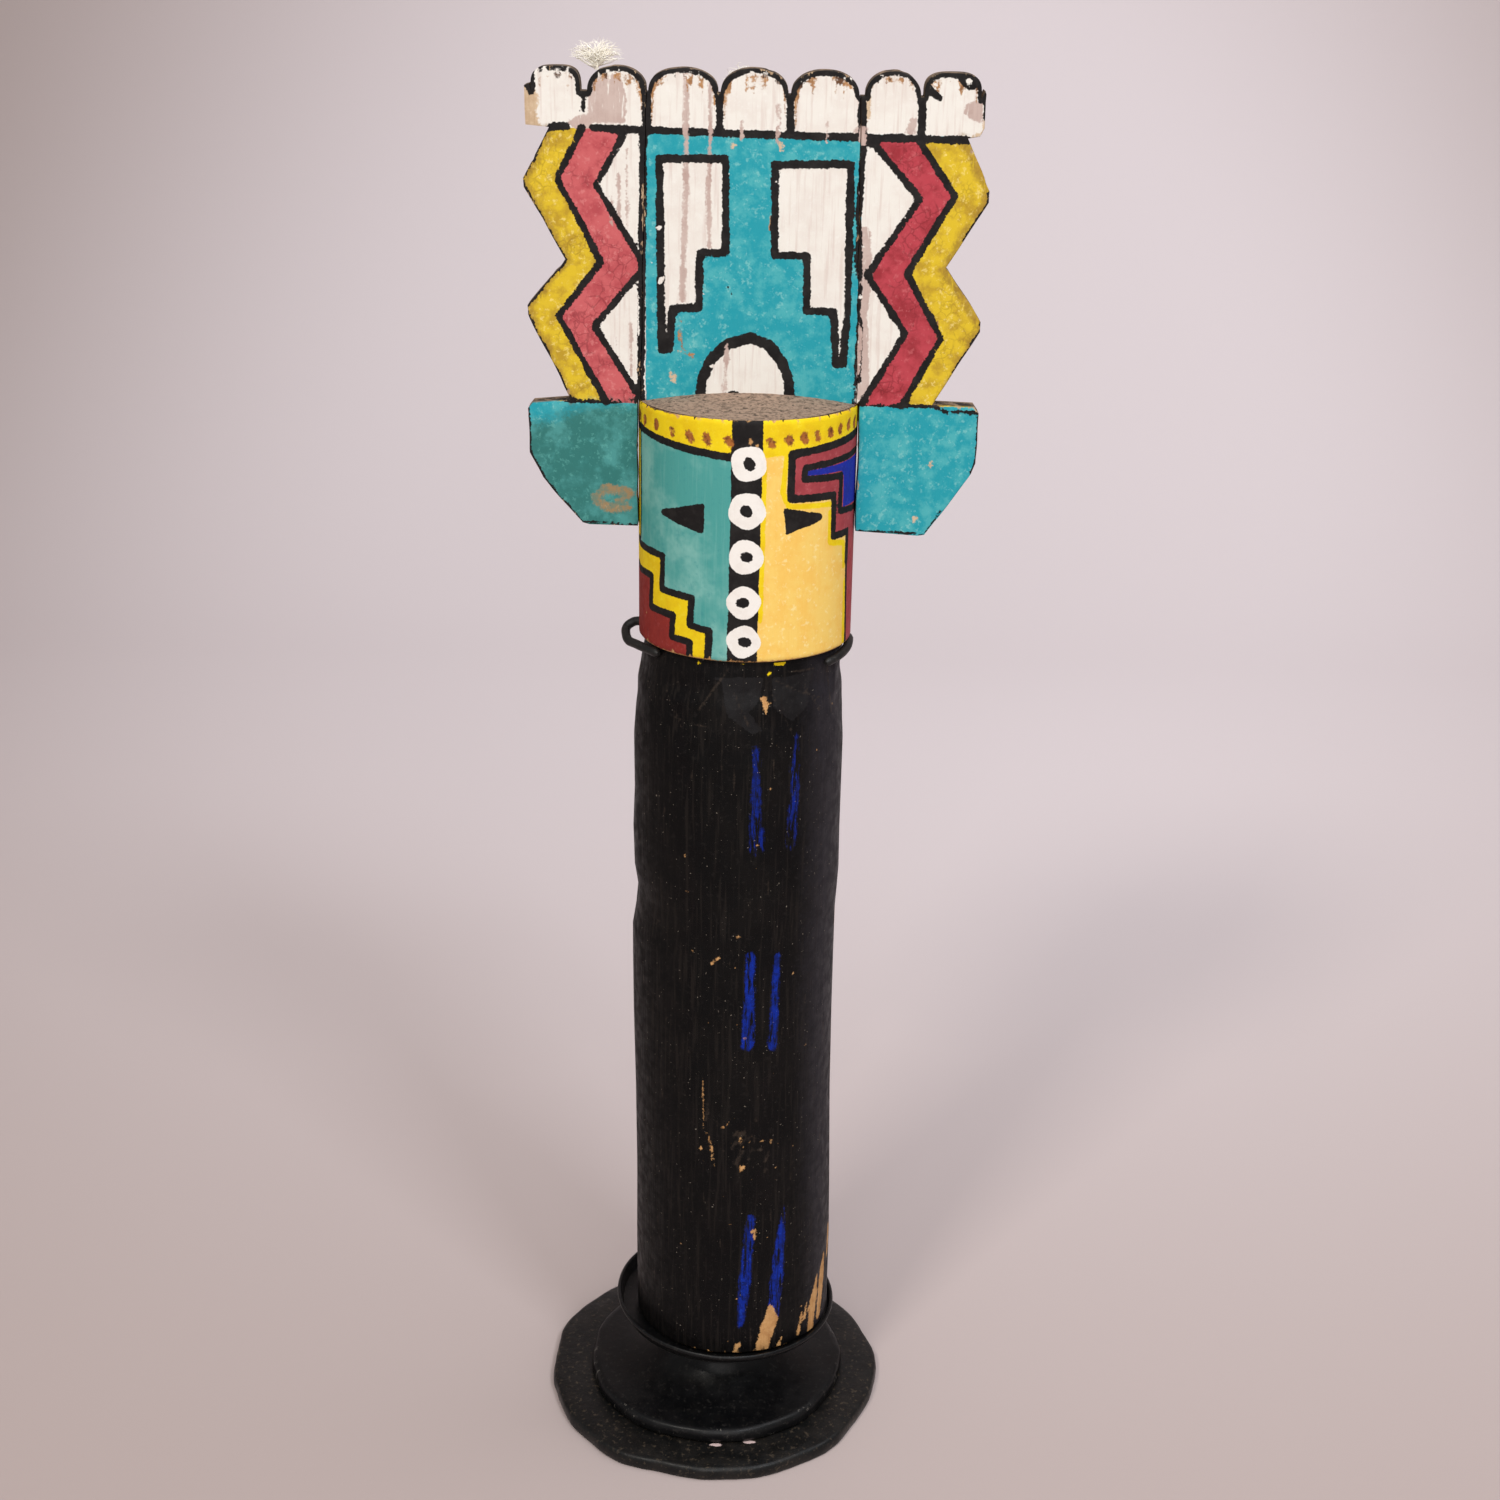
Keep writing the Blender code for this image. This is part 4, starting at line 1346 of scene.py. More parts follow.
BODY_PAINTING: Painting = {
    # painted sheen: the lighter strip down the body's right side stands for the lamps' reflection on the
    # rounded black paint
    "painted_sheen": (
        Patch(((23.0, 275.0), (43.0, 275.0), (43.0, 120.0), (40.0, 30.0), (30.0, 30.0), (26.0, 140.0))),
    ),
    "facet": (
        Patch((
            (-11.1, 267.2), (-5.9, 266.1), (-3.3, 256.2), (4.1, 250.7), (7.3, 251.8), (3.1, 257.3),
            (6.2, 260.6), (6.7, 267.2),
        )),
        Patch(((9.4, 267.2), (24.1, 267.2), (22.0, 257.3), (16.7, 252.9), (10.4, 258.4))),
    ),
    "scuff": body_scuffs(),
    "faint": (
        Taper((5.4, 246.0), (5.8, 220.0), (1.4, 3.6)),
        Taper((5.8, 222.0), (6.3, 214.6), (3.8, 4.6)),
        Taper((18.0, 249.0), (17.6, 238.0), (0.9, 1.6)),
        Taper((17.6, 240.0), (17.0, 214.4), (2.8, 3.0)),
    ),
    "track": (
        Taper((5.3, 179.0), (5.1, 148.4), (2.6, 4.2)),
        Taper((14.0, 178.0), (13.0, 146.8), (1.9, 3.0)),
        Taper((5.9, 85.6), (4.3, 62.0), (2.8, 3.8)),
        Taper((4.3, 62.0), (2.9, 44.6), (3.8, 1.6)),
        Taper((16.9, 87.4), (15.4, 68.0), (0.8, 4.4)),
        Taper((15.4, 68.0), (13.9, 47.0), (4.4, 3.6)),
    ),
    "ochre": (
        Spot((11.4, 271.7), 1.6, DAB_LOBES, 0.3),
        *round_spots((8.3, 268.4, 0.6), (-0.3, 271.6, 0.6), (-14.0, 270.6, 0.5)),
    ),
    "chips": (
        Patch((
            (12.2, 51.4), (13.4, 51.0), (14.8, 47.4), (15.3, 44.2), (14.2, 41.6), (13.2, 37.4),
            (12.2, 33.2), (10.9, 33.4), (10.6, 36.4), (9.9, 33.3), (8.3, 33.6), (8.4, 37.0),
            (9.5, 41.0), (9.3, 43.6), (10.8, 46.8),
        )),
        Stroke(((42.8, 67.0), (41.8, 56.0)), 2.0),
        Taper((37.4, 60.0), (36.2, 52.0), (1.0, 4.0)),
        Taper((36.2, 52.0), (34.2, 37.0), (4.0, 2.6)),
        Taper((32.4, 54.0), (31.0, 47.0), (0.8, 3.8)),
        Taper((31.0, 47.0), (29.4, 34.0), (3.8, 2.8)),
        Taper((27.2, 46.5), (26.2, 40.5), (0.5, 1.2)),
        Taper((25.0, 43.5), (23.6, 35.5), (0.5, 1.3)),
        *dabs((28.3, 42.9, 0.8), (9.2, 259.6, 0.5), (-9.9, 110.6, 0.5)),
        *strokes(
            (1.0, ((16.9, 37.3), (15.5, 32.6))), (1.4, ((2.3, 37.3), (1.1, 33.4))),
            (0.5, ((47.2, 246.0), (47.0, 205.0))), (0.6, ((47.0, 190.0), (46.6, 120.0))),
            (0.7, ((46.8, 100.0), (47.2, 44.0))), (0.5, ((-47.2, 262.0), (-47.4, 240.0))),
            (0.8, ((-47.6, 186.0), (-47.4, 176.0))), (0.3, ((-9.1, 135.4), (-8.6, 118.3), (-6.9, 114.5))),
        ),
        Taper((7.4, 260.8), (8.1, 257.4), (2.3, 1.1)),
        Taper((8.0, 258.6), (8.4, 255.8), (1.0, 0.3)),
        *round_spots(
            (0.8, 185.3, 0.7), (-6.3, 176.1, 0.6), (-4.5, 178.0, 0.5), (3.9, 150.7, 0.6), (9.7, 153.3, 0.5),
            (-12.7, 178.8, 0.5),
        ),
        Taper((-7.2, 114.9), (-6.3, 110.6), (0.5, 1.1)),
        Taper((-6.3, 110.6), (-5.6, 104.5), (1.1, 0.4)),
        Taper((3.4, 104.6), (2.7, 102.6), (1.4, 0.5)),
        Taper((7.5, 81.2), (7.3, 77.6), (1.1, 0.7)),
        *body_specks(),
    ),
}

HEAD_COATS = (
    Coat("gold", FACE_GOLD, 0.3),
    Coat("yellow", BRIGHT_YELLOW, 0.6),
    Coat("maroon", KEY_MAROON, 0.4),
    Coat("wine", KEY_WINE, 0.4),
    Coat("blue", KEY_BLUE, 0.5),
    Coat("ink", BRUSH_BLACK, 0.7, 0.10),
    Coat("white", RING_WHITE, 0.5, 0.10),
    Coat("pupil", BRUSH_BLACK, 0.9, 0.10),
    Coat("dots", RUST_DOT, 2.0, 0.35),
    Coat("bare", BARE_TAN, 1.2, 0.25),
    Coat("crack", BRUSH_BLACK, 0.5, 0.10),
)
BODY_COATS = (
    # painted sheen down the body's right side
    Coat("painted_sheen", BODY_PAINTED_SHEEN, 6.0, 7.0, 0.0, 0.7),
    Coat("facet", FACET_GREY, 1.2, 0.15, 0.0, 0.55),
    Coat("scuff", SCUFF_BROWN, 1.0, 0.3, 0.35, 0.6),
    Coat("faint", TRACK_BLUE, 1.6, 0.6, 0.72, 0.8),
    Coat("track", TRACK_BLUE, 1.4, 0.4, 0.5),
    Coat("ochre", BRIGHT_YELLOW, 1.2, 0.15),
    Coat("chips", BARE_TAN, 1.6, 0.25),
)


@dataclass(frozen=True)
class Row:
    """The log's section at one height, in millimetres: its two edges and its depth."""

    height: float
    left: float
    right: float
    depth: float


LOG_ROWS = (
    Row(32.9, -31.4, 30.3, 28.8), Row(34.1, -32.6, 31.5, 30.0), Row(64.0, -32.8, 31.4, 30.0),
    Row(87.0, -32.7, 30.9, 30.1), Row(118.0, -32.9, 30.1, 30.0), Row(147.0, -33.5, 29.8, 30.0),
    Row(165.0, -33.6, 29.7, 29.9), Row(176.0, -33.6, 29.7, 29.8), Row(183.0, -32.5, 29.7, 29.9),
    Row(190.0, -31.9, 30.1, 30.0), Row(197.0, -33.0, 30.4, 30.0), Row(210.0, -33.4, 30.2, 30.0),
    Row(223.0, -32.9, 30.2, 30.1), Row(240.0, -33.0, 30.2, 30.0), Row(251.0, -32.7, 30.0, 29.7),
    Row(258.0, -32.2, 29.7, 29.2), Row(264.0, -31.2, 29.5, 28.3), Row(268.0, -30.2, 29.3, 27.6),
    Row(272.3, -29.1, 29.1, 27.0), Row(272.6, -31.0, 31.0, 28.9), Row(273.1, -31.4, 31.4, 29.3),
    Row(341.9, -31.4, 31.4, 29.3), Row(342.4, -31.0, 31.0, 28.9),
)


@dataclass(frozen=True)
class Scoop:
    """A row of knife cuts round the log's shoulder."""

    height: float
    reach: float
    depth: float
    count: float
    start: float

    def bite(self, z: np.ndarray, turn: np.ndarray) -> np.ndarray:
        """Return how deep the cuts go at each height and angle, in millimetres."""
        fade = np.exp(-(((z - self.height) / self.reach) ** 2))
        return self.depth * fade * np.abs(np.sin(self.count * turn + self.start)) ** 0.7


SCOOPS = (
    Scoop(263.0, 4.4, 1.0, 4.5, 0.3), Scoop(253.5, 5.0, 0.65, 3.5, 1.1), Scoop(246.0, 4.0, 0.25, 5.0, 2.0),
)


@dataclass
class CarvedLog:
    """The half-round log: painted head, knife-cut neck and dark body."""

    head: bpy.types.Material
    body: bpy.types.Material
    sawn: bpy.types.Material
    back_cuts: int = 15
    head_half: float = 31.4
    head_deep: float = 29.3
    arc_half: float = 47.7
    back_half: float = 31.0

    def make(self) -> bpy.types.Object:
        """Carve and paint the log.

        Returns:
            The piece, which stands for the log's solid with the middle board.
        """
        mesh = to_mesh("carved_log", self.stock())
        unit = read_places(mesh)
        turn = np.arctan2(-unit[:, 1], -unit[:, 0])
        front = (unit[:, 1] < -1e-4) | (np.abs(unit[:, 0]) > 0.999)
        arc = self.arc_place(unit, turn, front)
        height = unit[:, 2] / MM
        places = self.carve(unit, height, turn, arc, front)
        write_places(mesh, places)
        for material in (self.body, self.head, self.sawn):
            mesh.materials.append(material)
        self.choose_materials(mesh)
        lay_paint(mesh, HEAD_PAINTING, arc, height, (HEAD_LOW - 0.4, HEAD_HIGH + 1.0))
        lay_paint(mesh, BODY_PAINTING, arc, height, (0.0, HEAD_LOW - 0.3))
        edge = np.abs(np.abs(arc) - self.arc_half)
        for level in (LOG_FOOT, HEAD_LOW, HEAD_HIGH):
            edge = np.minimum(edge, np.abs(height - level))
        store(mesh, "rim", np.exp(-edge / 0.9))
        store(mesh, "front", front.astype(float))
        store(mesh, "side", np.zeros(len(unit)))
        return finish_mesh("carved_log", mesh, ("doll_log",), radians(42))

    def stock(self) -> bmesh.types.BMesh:
        """Make the straight half-round stock with unit half width, sliced into rows.

        Returns:
            The stock, a closed shell.
        """
        bm = bmesh.new()
        first, last = half_circle(bm)
        chord = bm.edges.new((first, last))
        bmesh.ops.subdivide_edges(bm, edges=[chord], cuts=self.back_cuts)
        made = bmesh.ops.contextual_create(bm, geom=bm.edges[:])
        grown = bmesh.ops.extrude_face_region(bm, geom=made["faces"], use_keep_orig=True)
        low, high = LOG_ROWS[0].height, LOG_ROWS[-1].height
        bmesh.ops.translate(bm, verts=new_verts(grown), vec=(0, 0, (high - low) * MM))
        bmesh.ops.translate(bm, verts=bm.verts, vec=(0, 0, low * MM))
        rows = [row.height for row in LOG_ROWS[1:-1]]
        rows += between(34.1, 250.0, 1.5) + between(250.0, 272.3, 0.8) + between(273.1, 341.9, 0.9)
        slice_mesh(bm, 2, sorted({round(row, 3) * MM for row in rows}))
        return bm

    def arc_place(self, unit: np.ndarray, turn: np.ndarray, front: np.ndarray) -> np.ndarray:
        """Measure each vertex's place round the log from its front.

        Args:
            unit: The stock's vertices.
            turn: Their angles round the log.
            front: Which of them lie on the rounded side.

        Returns:
            One place for each vertex, in millimetres.
        """
        angles = np.linspace(0.0, pi, 721)
        across, ahead = np.diff(np.cos(angles)), np.diff(np.sin(angles))
        steps = np.hypot(self.head_half * across, self.head_deep * ahead)
        table = np.concatenate(([0.0], np.cumsum(steps)))
        around = np.interp(turn, angles, table - table[-1] / 2)
        behind = np.sign(unit[:, 0]) * (self.arc_half + self.back_half * (1 - np.abs(unit[:, 0])))
        return np.where(front, around, behind)

    @staticmethod
    def carve(
        unit: np.ndarray, height: np.ndarray, turn: np.ndarray, arc: np.ndarray, front: np.ndarray
    ) -> np.ndarray:
        """Shape the stock to its rows, knife cuts, dents and grain.

        Args:
            unit: The stock's vertices.
            height: Their heights in millimetres.
            turn: Their angles round the log.
            arc: Their places round the log in millimetres.
            front: Which of them lie on the rounded side.

        Returns:
            The carved vertices, in metres.
        """
        rows = np.array([(row.height, row.left, row.right, row.depth) for row in LOG_ROWS])
        left = np.interp(height, rows[:, 0], rows[:, 1])
        right = np.interp(height, rows[:, 0], rows[:, 2])
        depth = np.interp(height, rows[:, 0], rows[:, 3])
        body = height < HEAD_LOW - 0.2
        places = unit.copy()
        places[:, 0] = arc * MM
        knife = KNIFE_SWEEPS.at(places) + KNIFE_LINES.at(places)
        hewn = np.where(body, knife, 0.45 * knife)
        for scoop in SCOOPS:
            hewn -= np.where(body, scoop.bite(height, turn), 0.0)
        for place in DOT_PLACES:
            hewn -= 0.35 * np.exp(-((arc - place[0]) ** 2 + (height - place[1]) ** 2) / 1.1)
        rough_foot = np.exp(-np.abs(height - LOG_FOOT) / 2.0) * FOOT_CUTS.at(places)
        hewn = np.where(front, hewn + np.where(body, rough_foot, 0.0), 0.0)
        grown = 1 + hewn / 30.0
        half = (right - left) / 2 * grown
        shaped = np.empty_like(unit)
        shaped[:, 0] = DATUM.axis_x + ((left + right) / 2 + half * unit[:, 0]) * MM
        shaped[:, 1] = DATUM.back_y + depth * grown * unit[:, 1] * MM
        shaped[:, 2] = unit[:, 2]
        return shaped

    def choose_materials(self, mesh: bpy.types.Mesh) -> None:
        """Give the head, the body and the sawn top their own materials.

        Args:
            mesh: The carved log's mesh.
        """
        for polygon in mesh.polygons:
            z = polygon.center.z / MM
            if polygon.normal.z > 0.8 and z > HEAD_HIGH - 2.4:
                polygon.material_index = 2
            else:
                polygon.material_index = 1 if z > HEAD_LOW - 0.15 else 0

@dataclass
class SawnTop:
    """The rough top of the head, rising a little to the foot of the middle board."""

    material: bpy.types.Material
    rise: float = 2.8
    cell: float = 0.035

    def make(self) -> bpy.types.Object:
        """Saw the top as a half round that meets the log's upper arris.

        Returns:
            The piece, which stands for the log's solid with the log's own piece.
        """
        rim = LOG_ROWS[-1]
        bm = bmesh.new()
        half_circle(bm)
        bmesh.ops.contextual_create(bm, geom=bm.verts[:] + bm.edges[:])
        slice_mesh(bm, 0, between(-1.0, 1.0, self.cell))
        slice_mesh(bm, 1, between(-1.0, 0.0, self.cell))
        mesh = to_mesh("sawn_top", bm, closed=False)
        unit = read_places(mesh)
        across, ahead = unit[:, 0], -unit[:, 1]
        board = (DATUM.back_y - DATUM.board_y) / MM / rim.depth
        slope = np.clip((1.0 - ahead) / (1.0 - board), 0.0, 1.0)
        mound = self.rise * slope**1.6 * np.clip(1 - across**2 * 1.08, 0.0, 1.0)
        places = np.empty_like(unit)
        middle, half = (rim.left + rim.right) / 2, (rim.right - rim.left) / 2
        places[:, 0] = DATUM.axis_x + (middle + half * across) * MM
        places[:, 1] = DATUM.back_y - rim.depth * ahead * MM
        inner = np.clip((1.0 - np.hypot(across, ahead)) * 12.0, 0.0, 1.0)
        saw = SAW_LINES.at(places) + SAW_GRIT.at(places)
        places[:, 2] = rim.height * MM + (mound + saw * inner + 0.02) * MM
        write_places(mesh, places)
        mesh.materials.append(self.material)
        return finish_mesh("sawn_top", mesh, ("doll_log",), radians(75))


@dataclass
class Board:
    """A board of the headdress, sawn to an outline and painted on its front."""

    name: str
    outline: tuple[Point, ...]
    nodes: tuple[str, ...]
    material: bpy.types.Material
    cell: float = 1.05
    edge_round: float = 0.45

    def make(self) -> bpy.types.Object:
        """Saw, round and paint the board.

        Returns:
            The piece, which stands for the board's solids.
        """
        bm = bmesh.new()
        axis, front_y = DATUM.axis_x, DATUM.board_y
        corners = [bm.verts.new((axis + x * MM, front_y, z * MM)) for x, z in self.outline]
        face = bm.faces.new(corners)
        grown = bmesh.ops.extrude_face_region(bm, geom=[face], use_keep_orig=True)
        bmesh.ops.translate(bm, verts=new_verts(grown), vec=(0, DATUM.back_y - front_y, 0))
        rim = [edge for edge in bm.edges if all(abs(v.co.y - front_y) < 1e-6 for v in edge.verts)]
        bmesh.ops.bevel(
            bm, geom=rim, offset=self.edge_round * MM, segments=2, profile=0.5, affect="EDGES",
            material=-1, clamp_overlap=True,
        )
        self.slice_board(bm, front_y)
        mesh = to_mesh(self.name, bm)
        self.paint(mesh, front_y)
        mesh.materials.append(self.material)
        return finish_mesh(self.name, mesh, self.nodes, radians(48))

    def slice_board(self, bm: bmesh.types.BMesh, front_y: float) -> None:
        """Cut the board into small cells that can carry paint.

        Args:
            bm: The sawn board.
            front_y: Its front face's place, in metres.
        """
        xs = [x for x, _ in self.outline]
        zs = [z for _, z in self.outline]
        left, right = DATUM.axis_x + min(xs) * MM, DATUM.axis_x + max(xs) * MM
        slice_mesh(bm, 0, between(left, right, self.cell * MM))
        slice_mesh(bm, 2, between(min(zs) * MM, max(zs) * MM, self.cell * MM))
        slice_mesh(bm, 1, between(front_y + 0.5 * MM, DATUM.back_y, 1.5 * MM))

    def paint(self, mesh: bpy.types.Mesh, front_y: float) -> None:
        """Store the painting and wear, and give the surfaces their hand-cut unevenness.

        Args:
            mesh: The board's mesh.
            front_y: Its front face's place, in metres.
        """
        places = read_places(mesh)
        x = (places[:, 0] - DATUM.axis_x) / MM
        z = places[:, 2] / MM
        deep = (places[:, 1] - front_y) / MM
        lay_paint(mesh, HEADDRESS_PAINTING, x, z)
        inside = Patch(self.outline).distance(x, z)
        store(mesh, "rim", np.exp(np.minimum(inside, 0.0) / 0.9))
        store(mesh, "front", np.clip(1.4 - deep * 3.0, 0.0, 1.0))
        thickness = (DATUM.back_y - front_y) / MM
        store(mesh, "side", (deep < thickness - 0.3).astype(float))
        near_edge = np.exp(inside / 1.5)
        wander = near_edge * BOARD_WANDER.at(places)
        notch = 0.35 * near_edge * np.minimum(0.0, BOARD_NOTCHES.at(places) + 0.25)
        places[:, 0] += (wander + notch * np.sign(x)) * MM
        places[:, 2] += (0.6 * wander + notch) * MM * (z > 345.0)
        skin = BOARD_GRAIN.at(places) + BOARD_SWELL.at(places)
        places[:, 1] += np.where(deep < 0.05, np.abs(skin), 0.0) * MM
        write_places(mesh, places)


def joined(*clouds: Cloud) -> tuple[Point, ...]:
    """Return the tops of a run of clouds as one line from left to right."""
    return tuple(point for cloud in clouds for point in cloud.crest(CREST_STEPS))


MIDDLE_OUTLINE: tuple[Point, ...] = (
    (-30.4, 342.1), (-28.75, VALLEY_MM), *joined(*MIDDLE_CLOUDS), (28.75, VALLEY_MM), (30.4, 342.1),
)
LEFT_OUTLINE: tuple[Point, ...] = (
    (-55.0, 416.5), (-61.4, 417.0), (-61.5, 427.2), (-60.2, 427.6), *joined(*LEFT_CLOUDS),
    (-28.95, VALLEY_MM), (-30.6, 342.7), (-31.5, 342.6), (-31.5, 305.9), (-45.5, 306.1), (-47.4, 306.6),
    (-52.4, 312.4),
    (-58.6, 319.8), (-62.2, 327.0), (-62.2, 339.6), (-61.0, 341.2), (-49.9, 342.2), (-61.8, 366.0),
    (-62.0, 368.6), (-50.9, 381.4), (-62.2, 400.6), (-62.3, 403.0),
)
RIGHT_OUTLINE: tuple[Point, ...] = (
    (58.1, 415.4), (64.7, 401.6), (64.6, 398.6), (54.0, 381.0), (64.3, 366.2), (64.2, 363.4), (52.0, 342.6),
    (63.8, 342.2), (65.1, 340.4), (65.1, 326.0), (63.9, 322.8), (57.8, 313.6), (51.4, 304.6), (49.5, 304.3),
    (31.5, 305.4), (31.5, 342.7), (30.6, 342.7), (28.95, VALLEY_MM), *joined(*RIGHT_CLOUDS), (62.2, 427.9),
    (62.6, 427.0), (62.5, 418.2), (61.4, 416.0),
)


@dataclass
class Turned:
    """One turned part of the stand, spun from its profile."""

    name: str
    profile: tuple[Point, ...]
    node: str
    material: bpy.types.Material
    steps: int = 180
    rim_width: float = 12.0
    wave_top: float = 9.6
    nick_top: float = 9.7
    waves: tuple[tuple[float, int, float], ...] = ((0.55, 5, 0.7), (0.3, 9, 2.1), (0.25, 14, 0.0))

    def spin(self) -> bmesh.types.BMesh:
        """Spin the profile about the z axis.

        Returns:
            The turned shape, a closed shell.
        """
        bm = bmesh.new()
        verts = [bm.verts.new((r * MM, 0.0, z * MM)) for r, z in self.profile]
        edges = [bm.edges.new(pair) for pair in zip(verts, verts[1:])]
        bmesh.ops.spin(
            bm, geom=verts + edges, cent=(0, 0, 0), axis=(0, 0, 1), angle=2 * pi, steps=self.steps,
            use_merge=True, use_duplicate=False,
        )
        bmesh.ops.remove_doubles(bm, verts=bm.verts, dist=1e-6)
        return bm

    def make(
        self,
        wave: float,
        middle: Callable[[np.ndarray], tuple[np.ndarray, np.ndarray]],
        tilt: float = 0.0,
        tilt_floor: float = FAR,
    ) -> bpy.types.Object:
        """Spin the part, then cut its edge by hand.

        Args:
            wave: How far the hand-cut edge wanders, in millimetres.
            middle: Gives the section's middle from its height in millimetres.
            tilt: How far the rim tips over its radius, in millimetres.
            tilt_floor: The height above which it tips, in millimetres.

        Returns:
            The piece, which stands for its solid.
        """
        mesh = to_mesh(self.name, self.spin())
        places = read_places(mesh)
        radius = np.hypot(places[:, 0], places[:, 1]) / MM
        angle = np.arctan2(places[:, 1], places[:, 0])
        z = places[:, 2] / MM
        widest = max(r for r, _ in self.profile)
        wobble = sum(size * np.sin(count * angle + start) for size, count, start in self.waves)
        nick = RIM_NICKS.at(places) * (z < self.nick_top)
        near = np.clip(1 - np.abs(widest - radius) / self.rim_width, 0.0, 1.0)
        grown = radius + near * (wobble * wave * (z < self.wave_top) + nick)
        x0, y0 = middle(z)
        places[:, 0] = (x0 + grown * np.cos(angle)) * MM
        places[:, 1] = (y0 + grown * np.sin(angle)) * MM
        tip = np.where(z > tilt_floor + 0.4, tilt * grown * np.cos(angle) / widest, 0.0)
        places[:, 2] -= tip * MM
        write_places(mesh, places)
        turns = np.array([self.edge_distance(r, h) for r, h in zip(radius, z)])
        store(mesh, "rim", np.exp(-turns / 0.8))
        mesh.materials.append(self.material)
        return finish_mesh(self.name, mesh, (self.node,), radians(45))

    def edge_distance(self, radius: float, height: float) -> float:
        """Return how far a place on the profile lies from the part's outer rims."""
        widest = max(r for r, _ in self.profile)
        rims = [(r, z) for r, z in self.profile if r > widest - 1.4]
        return min((r - radius) ** 2 + (z - height) ** 2 for r, z in rims) ** 0.5


FOOT_PROFILE: tuple[Point, ...] = (
    (0.0, 0.0), (30.0, 0.0), (55.0, 0.0), (55.35, 0.35), (55.6, 1.1), (55.65, 2.2), (55.45, 3.5),
    (55.0, 4.3), (54.2, 4.6), (48.0, 4.6), (30.0, 4.6), (0.0, 4.6),
)
PEDESTAL_PROFILE: tuple[Point, ...] = (
    (0.0, 4.9), (30.0, 4.9), (42.2, 4.9), (42.6, 5.3), (42.85, 6.2), (42.75, 7.6), (42.3, 8.9),
    (41.5, 9.45), (40.2, 9.55), (34.0, 9.7), (28.9, 10.5), (24.0, 12.2), (20.4, 14.6), (18.0, 17.2),
    (17.0, 19.3),
    (17.6, 21.6), (19.8, 23.9), (23.6, 26.3), (28.6, 28.6), (32.2, 30.3), (34.4, 31.9), (35.7, 33.2),
    (36.4, 34.3), (36.6, 34.9), (36.5, 35.4), (36.1, 35.7), (35.6, 35.6), (35.3, 34.9), (35.15, 33.6),
    (34.5, 32.75), (33.0, 32.6), (20.0, 32.6), (0.0, 32.6),
)


def stem_middle(z: np.ndarray) -> tuple[np.ndarray, np.ndarray]:
    """Return the middle of the pedestal's section at each height, in millimetres."""
    share = np.clip((z - 9.5) / 19.5, 0.0, 1.0)
    return 0.8 + 2.8 * share, -0.5 - 1.5 * share


def foot_middle(z: np.ndarray) -> tuple[np.ndarray, np.ndarray]:
    """Return the middle of the foot's section at each height, in millimetres."""
    return np.zeros_like(z), np.zeros_like(z)


@dataclass(frozen=True)
class Hook:
    """One arm of the wire cradle, in millimetres."""

    sign: int
    corner: float
    bulge: float
    reach: float
    lift: float
    drop: float


